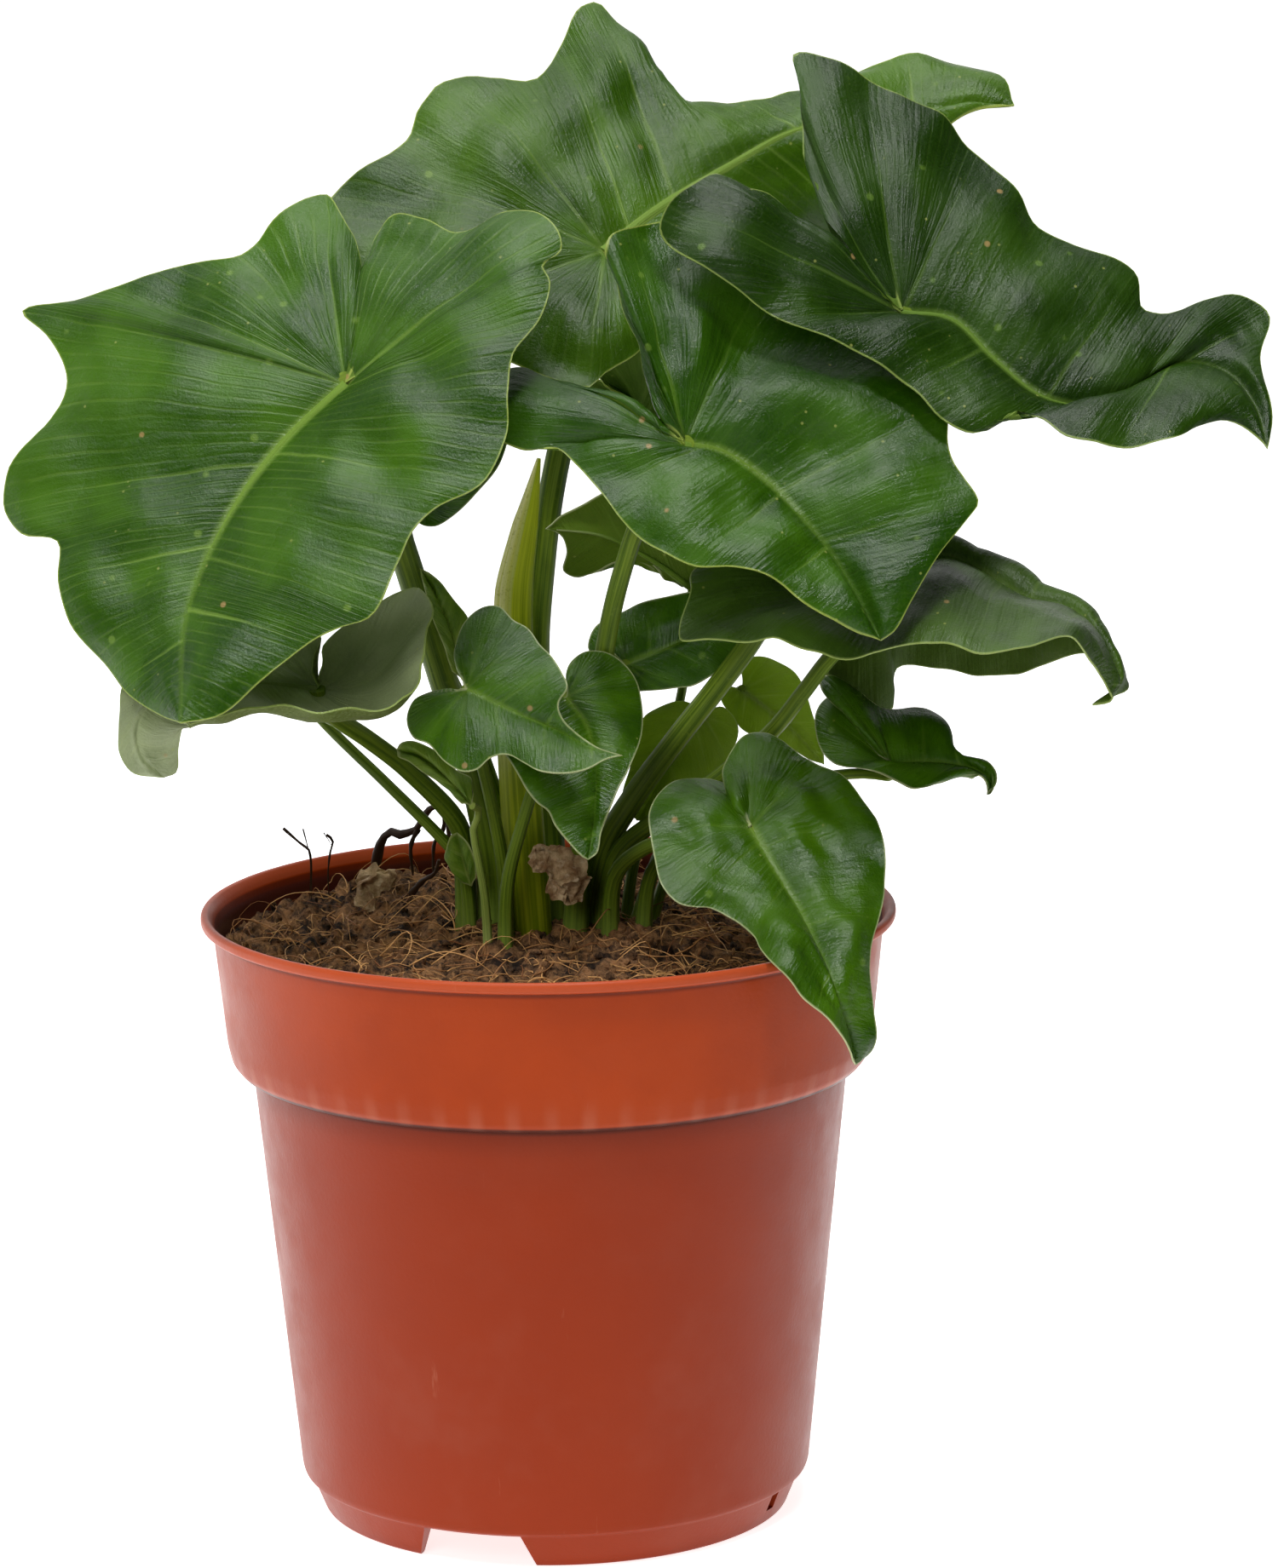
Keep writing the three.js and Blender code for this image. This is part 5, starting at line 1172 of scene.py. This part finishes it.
def dry_material():
    n = new_material("dry_leaf")
    base = n.paint(linear(146, 108, 70), linear(234, 202, 154), n.step(n.noise(160, 6, 0.7), 0.35, 0.68))
    base = n.paint(base, linear(246, 226, 188), n.step(n.noise(420, 5, 0.7), 0.5, 0.7, 0, 0.5))
    n.set(base_color=base)
    n.roughen(0.75, 0.95, 90)
    n.bump(n.noise(800, 6, 0.75), 1, 0.0014)
    return n.owner


def soil_material():
    n = new_material("soil")
    base = n.paint(linear(44, 27, 14), linear(214, 156, 104), n.step(n.noise(150, 6, 0.75), 0.38, 0.66))
    strands = n.noise(330, 5, 0.7, stretch=(1, 0.2, 0.5))
    base = n.paint(base, linear(226, 168, 108), n.step(strands, 0.56, 0.68, 0, 0.8))
    other = n.noise(330, 5, 0.7, stretch=(0.2, 1, 0.5))
    base = n.paint(base, linear(166, 110, 66), n.step(other, 0.58, 0.72, 0, 0.6))
    n.set(base_color=base)
    n.roughen(0.85, 1, 300)
    n.bump(n.noise(700, 6, 0.8), 1, 0.003)
    return n.owner


def fibre_material():
    n = new_material("coir_fibre")
    tone, _ = n.surface("rib")
    base = n.paint(linear(132, 78, 38), linear(240, 184, 114), tone)
    base = n.paint(base, linear(120, 72, 38), n.step(n.noise(500), 0.4, 0.7, 0, 0.4))
    n.set(base_color=base)
    n.roughen(0.55, 0.75, 400)
    n.bump(n.noise(2500), 0.3, 0.0002)
    return n.owner


def pot_material():
    """Brick-red plastic with pale marks on the collar; painted shade below the collar and on the inner
    wall, painted shadows under the collar's ledge and under the lip, and a painted highlight on the lip.
    """
    n = new_material("terracotta_plastic")
    x, y, z = n.split(n.place())
    right = n.math("SUBTRACT", x, AXIS_X / 1000)

    def height(low, high, start=0, end=1):
        return n.step(z, low / 1000, high / 1000, start, end)

    base = n.paint(linear(172, 62, 10), linear(160, 56, 9), n.step(n.noise(22, 4, 0.6), 0.3, 0.7))
    # Painted shade: the body below the collar is darker, most of all in the 9 mm just under it.
    below_collar = height(COLLAR_BOTTOM + 0.6, COLLAR_BOTTOM + 1.4, 1, 0)
    base = n.paint(base, linear(138, 42, 5), below_collar, 0.74)
    base = n.paint(base, linear(92, 27, 5), below_collar, height(COLLAR_BOTTOM - 9, COLLAR_BOTTOM, 0, 0.4))
    # Painted shadow: a dark line just under the collar's ledge.
    groove = height(COLLAR_BOTTOM - 2, COLLAR_BOTTOM - 0.6)
    base = n.paint(base, linear(58, 18, 5), below_collar, groove, 0.85)

    turn = n.times(n.math("ARCTAN2", right, y), COLLAR_MARKS / (2 * math.pi))
    marks = n.step(n.math("PINGPONG", turn, 0.5), 0.2, 0.45)
    marks = n.times(marks, n.step(n.noise(60, 3), 0.35, 0.6, 0.3, 1))
    at_collar = height(COLLAR_BOTTOM + 1, COLLAR_BOTTOM + 10, 1, 0)
    at_collar = n.times(at_collar, height(COLLAR_BOTTOM - 0.7, COLLAR_BOTTOM + 2.3))
    base = n.paint(base, linear(214, 150, 122), marks, at_collar, 0.14)
    scratches = n.noise(260, 4, 0.7, stretch=(1, 1, 0.1))
    base = n.paint(base, linear(208, 140, 110), n.step(scratches, 0.68, 0.78, 0, 0.18))
    dust = n.step(n.noise(18, 4, 0.7), 0.45, 0.7)
    base = n.paint(base, linear(200, 160, 140), dust, height(20, 110, 1, 0.3), 0.04)

    # Painted shade on the pot's inner wall, from just above the collar's bottom up to the rim.
    radius = n.math("SQRT", n.math("ADD", n.math("POWER", right, 2), n.math("POWER", y, 2)))
    wall = n.math("ADD", n.times(z, COLLAR_SLOPE), COLLAR_START / 1000)
    inside = n.step(n.math("SUBTRACT", radius, wall), -0.0011, -0.0005, 1, 0)
    inside = n.times(inside, height(COLLAR_BOTTOM + 4, COLLAR_BOTTOM + 8))
    base = n.paint(base, linear(70, 30, 25), inside, 0.93)
    # Painted shadow under the lip.
    lip_shadow = height(LIP_BOTTOM - 1.9, LIP_BOTTOM - 0.7)
    lip_shadow = n.times(lip_shadow, height(LIP_BOTTOM - 0.2, LIP_BOTTOM + 0.2, 1, 0))
    base = n.paint(base, linear(84, 26, 8), lip_shadow, 0.7)
    # Painted highlight on the lip and the rim above it.
    base = n.paint(base, linear(214, 104, 70), height(LIP_BOTTOM + 0.1, LIP_BOTTOM + 0.5, 0, 0.35))
    n.set(base_color=base, specular_ior_level=0.17)
    n.roughen(0.3, 0.42, 70, 5, 0.65)
    n.bump(n.math("ADD", n.noise(900, 3, 0.6), n.times(n.noise(45, 3), 0.4)), 0.12, 0.0005)
    return n.owner


# Pot
POT_OUTSIDE = [
    (FOOT_RADIUS - 2.5, FOOT_TOP), (FOOT_RADIUS - 2.5, 0), (FOOT_RADIUS, 0), (61, FOOT_TOP - 0.4),
    (62.4, FOOT_TOP), (62.9, FOOT_TOP + 1.5), (73.1, COLLAR_BOTTOM), (76.6, COLLAR_BOTTOM),
    (78.2, COLLAR_BOTTOM + 2), (79.1, COLLAR_BOTTOM + 6), (82.1, 146.9), (84.3, LIP_BOTTOM),
    (RIM_RADIUS, 147.9), (RIM_RADIUS, 149.4), (84.5, POT_HEIGHT),
]
POT_INSIDE = [
    (83.4, POT_HEIGHT), (82.2, 148.6), (81.9 - WALL, 144.8), (78.6 - WALL, COLLAR_BOTTOM + 3.5),
    (73.1 - WALL, COLLAR_BOTTOM - 0.6), (62.9 - WALL, FOOT_TOP + WALL + 2), (60.6, FOOT_TOP + WALL),
]


def rounded(profile, radius, steps=4):
    """The profile with each corner cut by a small curve."""
    points = [profile[0]]
    for before, corner, after in zip(profile, profile[1:], profile[2:]):
        before, corner, after = (np.array(p, float) for p in (before, corner, after))
        to_before, to_after = before - corner, after - corner
        reach = min(radius, 0.45 * np.linalg.norm(to_before), 0.45 * np.linalg.norm(to_after))
        start, end = corner + unit(to_before) * reach, corner + unit(to_after) * reach
        for t in np.linspace(0, 1, steps):
            points.append((1 - t) ** 2 * start + 2 * t * (1 - t) * corner + t ** 2 * end)
    points.append(profile[-1])
    return [(float(r), float(z)) for r, z in points]


def lathe(profile, sides):
    """Points and faces of a closed body turned round the axis; both ends of the profile lie on it."""
    angles = 2 * math.pi * np.arange(sides) / sides
    rings = profile[1:-1]
    points = [(r * math.cos(a), r * math.sin(a), z) for r, z in rings for a in angles]
    faces = []
    for k in range(len(rings) - 1):
        for j in range(sides):
            turn = (j + 1) % sides
            faces.append((k * sides + j, k * sides + turn, (k + 1) * sides + turn, (k + 1) * sides + j))
    for ring, (_, z), turned_over in ((0, profile[0], False), (len(rings) - 1, profile[-1], True)):
        points.append((0, 0, z))
        for j in range(sides):
            corners = (ring * sides + j, len(points) - 1, ring * sides + (j + 1) % sides)
            faces.append(corners[::-1] if turned_over else corners)
    return points, faces


def even_angles(count, first):
    return [first + k * 360 / count for k in range(count)]


def turned(x, y, angle):
    """A place turned about the pot's axis by an angle in degrees."""
    turn = math.radians(angle)
    return x * math.cos(turn) - y * math.sin(turn), x * math.sin(turn) + y * math.cos(turn)


def foot_slot(half_width, height, angle):
    """Four corners, at one height, of a cut through the foot's wall."""
    front, back = -FOOT_RADIUS - SLOT_REACH, -FOOT_RADIUS + SLOT_REACH
    corners = ((-half_width, front), (half_width, front), (half_width, back), (-half_width, back))
    return [(*turned(x, y, angle), height) for x, y in corners]


def add_prism(points, faces, lower, upper):
    """Adds a closed body between two faces with equal numbers of corners."""
    first, sides = len(points), len(lower)
    points.extend([*lower, *upper])
    faces.append(tuple(first + j for j in range(sides))[::-1])
    faces.append(tuple(first + sides + j for j in range(sides)))
    for j in range(sides):
        here, there = first + j, first + (j + 1) % sides
        faces.append((here, there, there + sides, here + sides))


def pot_cutters():
    """What is cut out of the pot: notches and windows in its foot and drain holes in its floor."""
    points, faces = [], []
    half = FOOT_RADIUS * math.tan(math.radians(NOTCH_WIDTH / 2))
    for angle in even_angles(NOTCH_COUNT, NOTCH_ANGLE):
        lower = foot_slot(half + NOTCH_SLANT, -1, angle)
        add_prism(points, faces, lower, foot_slot(half - NOTCH_SLANT, FOOT_TOP - 0.6, angle))
    width, height = WINDOW_SIZE
    for angle in even_angles(WINDOW_COUNT, WINDOW_ANGLE):
        lower = foot_slot(width / 2, FOOT_TOP - 1 - height, angle)
        add_prism(points, faces, lower, foot_slot(width / 2, FOOT_TOP - 1, angle))
    circle = [2 * math.pi * j / DRAIN_SIDES for j in range(DRAIN_SIDES)]
    for angle in even_angles(DRAIN_COUNT, NOTCH_ANGLE):
        x, y = turned(0, -DRAIN_RING, angle)
        ends = (
            [(x + DRAIN_RADIUS * math.cos(a), y + DRAIN_RADIUS * math.sin(a), z) for a in circle]
            for z in (FOOT_TOP - 2, FOOT_TOP + WALL + 2)
        )
        add_prism(points, faces, *ends)
    return points, faces


def pot_object(material):
    profile = rounded([(0, FOOT_TOP), *POT_OUTSIDE, *POT_INSIDE, (0, FOOT_TOP + WALL)], CORNER_RADIUS)
    body = new_object("pot_moulded", *lathe(profile, POT_SIDES), [material])
    cutters = new_object("pot_cutters", *pot_cutters(), [material])
    modifier = body.modifiers.new("cut", "BOOLEAN")
    modifier.object = cutters
    modifier.operation = "DIFFERENCE"
    modifier.solver = "EXACT"
    graph = bpy.context.evaluated_depsgraph_get()
    mesh = bpy.data.meshes.new_from_object(body.evaluated_get(graph))
    body.modifiers.clear()
    body.data = mesh
    bpy.data.objects.remove(cutters)
    mesh.shade_smooth()
    mesh.set_sharp_from_angle(angle=math.radians(SHARP_ANGLE))
    return body


# Soil
def soil_height(x, y):
    """The soil's surface: two heaps, one in the middle and one at the back left, lumps and crumbs."""
    heap = SOIL_HEAP * np.exp(-((x - 2) ** 2 + y ** 2) / (2 * 30 ** 2))
    heap = heap + 5 * np.exp(-((x + 36) ** 2 + (y - 48) ** 2) / (2 * 13 ** 2))
    lumps = 0.9 * np.sin(x / 7 + 1) * np.sin(y / 8) + 0.5 * np.sin(x / 3.4 - y / 4.1)
    flat = np.stack([x, y, np.zeros_like(x)], axis=-1)
    crumbs = 0.8 * waves(flat, 7, 41) + 0.7 * waves(flat, 3.2, 42) + 0.55 * abs(waves(flat, 1.7, 43))
    return SOIL_EDGE + heap + lumps + crumbs


def on_soil(x, y):
    return float(soil_height(np.array([x]), np.array([y]))[0])


def random_place(random, nearest=0):
    """A random place on the soil, as likely anywhere; nearest keeps it away from the middle."""
    radius = SOIL_RADIUS * 0.97 * math.sqrt(random.uniform(nearest, 1))
    angle = random.uniform(0, 2 * math.pi)
    return radius * math.cos(angle), radius * math.sin(angle)


def soil_object(material):
    radii = SOIL_RADIUS * np.sqrt(np.linspace(1, 0.0005, SOIL_RINGS))
    profile = [
        (0, FOOT_TOP + WALL + 0.3), (59.5, FOOT_TOP + WALL + 0.3), (61.1, FOOT_TOP + WALL + 2),
        (71.3, COLLAR_BOTTOM - 0.6), (76.8, COLLAR_BOTTOM + 3.5), (SOIL_RADIUS, SOIL_EDGE - 2.5),
        *[(r, SOIL_EDGE) for r in radii], (0, SOIL_EDGE),
    ]
    points, faces = lathe(profile, SOIL_SIDES)
    points = np.array(points)
    top = points[:, 2] > SOIL_EDGE - 0.01
    points[top, 2] = soil_height(points[top, 0], points[top, 1])
    return new_object("soil_crumbly", points, faces, [material])


def strand(shape, random, length, lift, thick, tone, steps=7):
    """Adds one fibre that starts at a random place on the soil, bends evenly and may rise from it."""
    x, y = random_place(random, 0.02)
    heading = random.uniform(0, 2 * math.pi)
    curl = random.normal(0, 0.2)
    path = []
    for i in range(steps + 1):
        if math.hypot(x, y) > SOIL_RADIUS - 1.5:
            heading += 1.2
            x, y = x * 0.97, y * 0.97
        rise = lift * math.sin(math.pi * (0.08 + 0.84 * i / steps))
        path.append([x, y, on_soil(x, y) - 0.1 + rise])
        heading += curl
        x += length / steps * math.cos(heading)
        y += length / steps * math.sin(heading)
    path = np.array(path)
    path[1:-1, 2] = (path[:-2, 2] + 2 * path[1:-1, 2] + path[2:, 2]) / 4 + 0.15
    share = np.linspace(0, 1, 12)
    first = len(shape.maps)
    tube(shape, Curve(path).at(share), thick * (1 - 0.6 * share), FIBRE_SIDES, 0)
    for corner in shape.maps[first:]:
        corner[4] = tone


def soil_strands(material):
    """Coir fibres that lie on the soil and stand up from it."""
    random = np.random.default_rng(7)
    shape = Shape()
    for k in range(FIBRE_COUNT):
        length = random.uniform(5, 14) if k % 4 else random.uniform(16, 30)
        lift = random.uniform(0.3, 1.8) if k % 8 else random.uniform(3, 8)
        strand(shape, random, length, lift, random.uniform(0.1, 0.22), random.uniform(0, 1))
    return shape_object("coir_fibres", shape, [material], sharp=0)


def root_object(material):
    """The dead root and the twigs, each thinner towards its end and a little knotty."""
    shape = Shape()
    share = np.linspace(0, 1, 16)
    for points, thick in ROOTS:
        radii = thick * (1 - 0.6 * share) * (1 + 0.15 * np.sin(23 * share))
        tube(shape, Curve([placed(*p) for p in points]).at(share), radii, ROOT_SIDES, 0)
    return shape_object("dry_roots", shape, [material])


def soil_crumbs(material):
    """Loose crumbs on the soil, each a dented body with twenty faces."""
    random = np.random.default_rng(11)
    shape = Shape()
    golden = (1 + math.sqrt(5)) / 2
    pairs = [(a, b) for a in (golden, -golden) for b in (-1, 1)]
    corners = [(b, a, 0) for a, b in pairs] + [(0, b, a) for a, b in pairs] + [(a, 0, b) for a, b in pairs]
    corners = unit(np.array(corners))
    sides = [
        (0, 11, 5), (0, 5, 1), (0, 1, 7), (0, 7, 10), (0, 10, 11), (1, 5, 9), (5, 11, 4), (11, 10, 2),
        (10, 7, 6), (7, 1, 8), (3, 9, 4), (3, 4, 2), (3, 2, 6), (3, 6, 8), (3, 8, 9), (4, 9, 5), (2, 4, 11),
        (6, 2, 10), (8, 6, 7), (9, 8, 1),
    ]
    for _ in range(CRUMB_COUNT):
        x, y = random_place(random)
        size = 0.4 + 1.4 * random.random() ** 4
        lump = corners * random.uniform(0.6, 1.3, (12, 1)) * size * random.uniform(0.6, 1.4, 3)
        first = shape.add_points(lump + [x, y, on_soil(x, y)])
        for side in sides:
            shape.add_face([first + c for c in side], 0, [[0] * 6] * 3)
    return shape_object("soil_crumbs", shape, [material], sharp=0)


# New leaf
def rolled(share, angles):
    """The fold of the sheath's margin and fine ridges all round."""
    fold = bell(angles - 3.6, 0.2) * 0.08
    return 1 + fold * (1 - share) + 0.012 * np.cos(14 * angles)


def spike_object(material):
    """The rolled new leaf, from inside the soil to its tip."""
    curve = Curve([[*SPIKE["base"], STALK_ROOT], *[placed(*p) for p in SPIKE["path"]]])
    share = np.linspace(0, 1, 80)
    last = len(SPIKE["radii"]) - 1
    radii = np.interp(share * last, range(last + 1), SPIKE["radii"])
    shape = Shape()
    tube(shape, curve.at(share), radii, SHEATH_SIDES, 0, rolled)
    return shape_object("new_leaf_rolled", shape, [material])


# Assembly
OTHER_LOOKS = {
    "upper_left_leaf": "veined", "centre_leaf": "deep", "upper_right_leaf": "shade",
    "lower_left_leaf": "painted_sheen", "inner_low_leaf": "lit", "inner_back_leaf": "lit",
    **dict.fromkeys((
        "front_small_leaf", "front_long_leaf", "front_right_leaf", "inner_right_leaf", "inner_left_leaf",
        "curled_leaf", "back_left_leaf",
    ), "bright"),
}


def dress(obj, node):
    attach(obj, "root")
    if node:
        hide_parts(node)


def leaf_sets():
    """The materials of each kind of leaf, in the order of UPPER, UNDER, EDGE and STALK."""
    sets = {"dry": [dry_material()] * 4}
    for tone, changes in LEAF_LOOKS.items():
        look = {**PLAIN_LOOK, **changes}
        look = {key: linear(*value) if isinstance(value, tuple) else value for key, value in look.items()}
        edge_look = {**look, "deep": look["margin"], "light": look["margin"]}
        upper = blade_material("leaf_" + tone, look)
        under = blade_material("leaf_" + tone + "_under", look, True)
        edge = blade_material("leaf_" + tone + "_edge", edge_look)
        stalk = stalk_material("stalk_" + tone, *STALK_LOOKS.get(tone, STALK_LOOKS["green"]))
        sets[tone] = [upper, under, edge, stalk]
    return sets


def grow(leaves, materials, first_seed):
    """Builds one leaf after another, each with a seed of its own."""
    for number, (name, drawn) in enumerate(leaves.items()):
        leaf = {**LEAF_DEFAULTS, **drawn}
        tone = leaf["colour"]
        finish = materials[OTHER_LOOKS.get(name, tone)]
        dress(leaf_object(name, leaf, finish, first_seed + 100 * number), name)


soil_finish = soil_material()
root_finish = stalk_material("root", linear(44, 30, 20), linear(92, 66, 42), linear(50, 34, 22))
dress(pot_object(pot_material()), "pot")
dress(soil_object(soil_finish), "soil")
dress(soil_crumbs(soil_finish), None)
dress(soil_strands(fibre_material()), None)
dress(root_object(root_finish), None)
leaf_finishes = leaf_sets()
grow(LEAVES, leaf_finishes, 0)
grow(SCALES, leaf_finishes, 3000)
dress(spike_object(sheath_material()), "new_leaf")


# Floor, light and camera
def floor_material():
    """White, with a glow of its own behind the plant that ends to the right of it."""
    n = new_material("floor_white")
    white, shade = (0.95, 0.95, 0.95, 1), (0.931, 0.931, 0.931, 1)
    x, y, _ = n.split(n.place())
    right_of_view = n.math("SUBTRACT", x, n.times(y, 0.13))
    glow = n.times(n.step(y, -0.25, 0, 0, 0.85), n.step(right_of_view, 0.19, 0.3, 1, 0))
    n.set(base_color=n.paint(white, shade, n.step(n.noise(3), 0.3, 0.7)), roughness=0.9)
    n.set(emission_color=(1, 1, 1, 1), emission_strength=glow)
    return n.owner


FLOOR_HALF = 12
floor_mesh = bpy.data.meshes.new("floor")
floor_corners = [(x * FLOOR_HALF, y * FLOOR_HALF, 0) for x, y in ((-1, -1), (1, -1), (1, 1), (-1, 1))]
floor_mesh.from_pydata(floor_corners, [], [(0, 1, 2, 3)])
floor_mesh.materials.append(floor_material())
floor = bpy.data.objects.new("floor", floor_mesh)
bpy.context.scene.collection.objects.link(floor)


def frame_of(eye, aim, roll):
    """A matrix whose -Z looks from eye to aim, turned by roll radians."""
    ahead = unit(aim - eye)
    right = unit(np.cross(ahead, [0, 0, 1]))
    up = np.cross(right, ahead)
    rows = np.eye(4)
    rows[:3, 0] = math.cos(roll) * right + math.sin(roll) * up
    rows[:3, 1] = -math.sin(roll) * right + math.cos(roll) * up
    rows[:3, 2] = -ahead
    rows[:3, 3] = eye
    return Matrix(rows.tolist())


def soft_light(name, place, aim, size, power, glossy=True):
    data = bpy.data.lights.new(name, "AREA")
    data.shape = "RECTANGLE"
    data.size, data.size_y = size
    data.energy = power
    light = bpy.data.objects.new(name, data)
    light.matrix_world = frame_of(np.array(place), np.array(aim), 0)
    light.visible_glossy = glossy
    bpy.context.scene.collection.objects.link(light)


soft_light("fill", (-0.7, -1.8, 1.2), (0, 0, 0.2), (0.9, 0.9), 14, glossy=False)
soft_light("sheen", (0.1, -0.7, 1.8), (0, 0, 0.25), (0.34, 0.24), 14)
soft_light("sheen_left", (-0.7, -0.84, 1.5), (0, 0, 0.25), (0.3, 0.24), 5)
soft_light("top", (-0.1, 0.1, 1.7), (0, 0, 0.2), (0.8, 0.6), 9)
soft_light("left", (-1.5, 0.25, 0.5), (0, 0, 0.15), (0.5, 1.4), 2.5)
soft_light("right", (1.5, 0.45, 0.6), (0, 0, 0.15), (0.3, 1.4), 0.4, glossy=False)

# Light from all round, strong from behind and faint from the front and the right
world = Nodes(bpy.data.worlds.new("studio"), "Background")
x, y, _ = world.split(world.node("TexCoord").outputs["Generated"])
strength = world.times(world.step(y, 0.1, 0.7, 0.05, 0.9), world.step(x, 0.2, 0.75, 1, 0.05))
world.set(color=(1, 1, 1, 1), strength=strength)
bpy.context.scene.world = world.owner
bpy.context.scene.view_settings.view_transform = "Standard"

lens = bpy.data.cameras.new("camera")
lens.sensor_width = SENSOR
lens.lens = FOCAL_PIXELS / PHOTO_HEIGHT * SENSOR
lens.clip_end = FAR_END
camera = bpy.data.objects.new("camera", lens)
bpy.context.scene.collection.objects.link(camera)
eye = np.array((AXIS_X, -VIEW_DISTANCE, VIEW_HEIGHT)) / 1000
aim = np.array((AXIS_X + AIM_RIGHT, 0, AIM_HEIGHT)) / 1000
camera.matrix_world = frame_of(eye, aim, ROLL)
bpy.context.scene.camera = camera
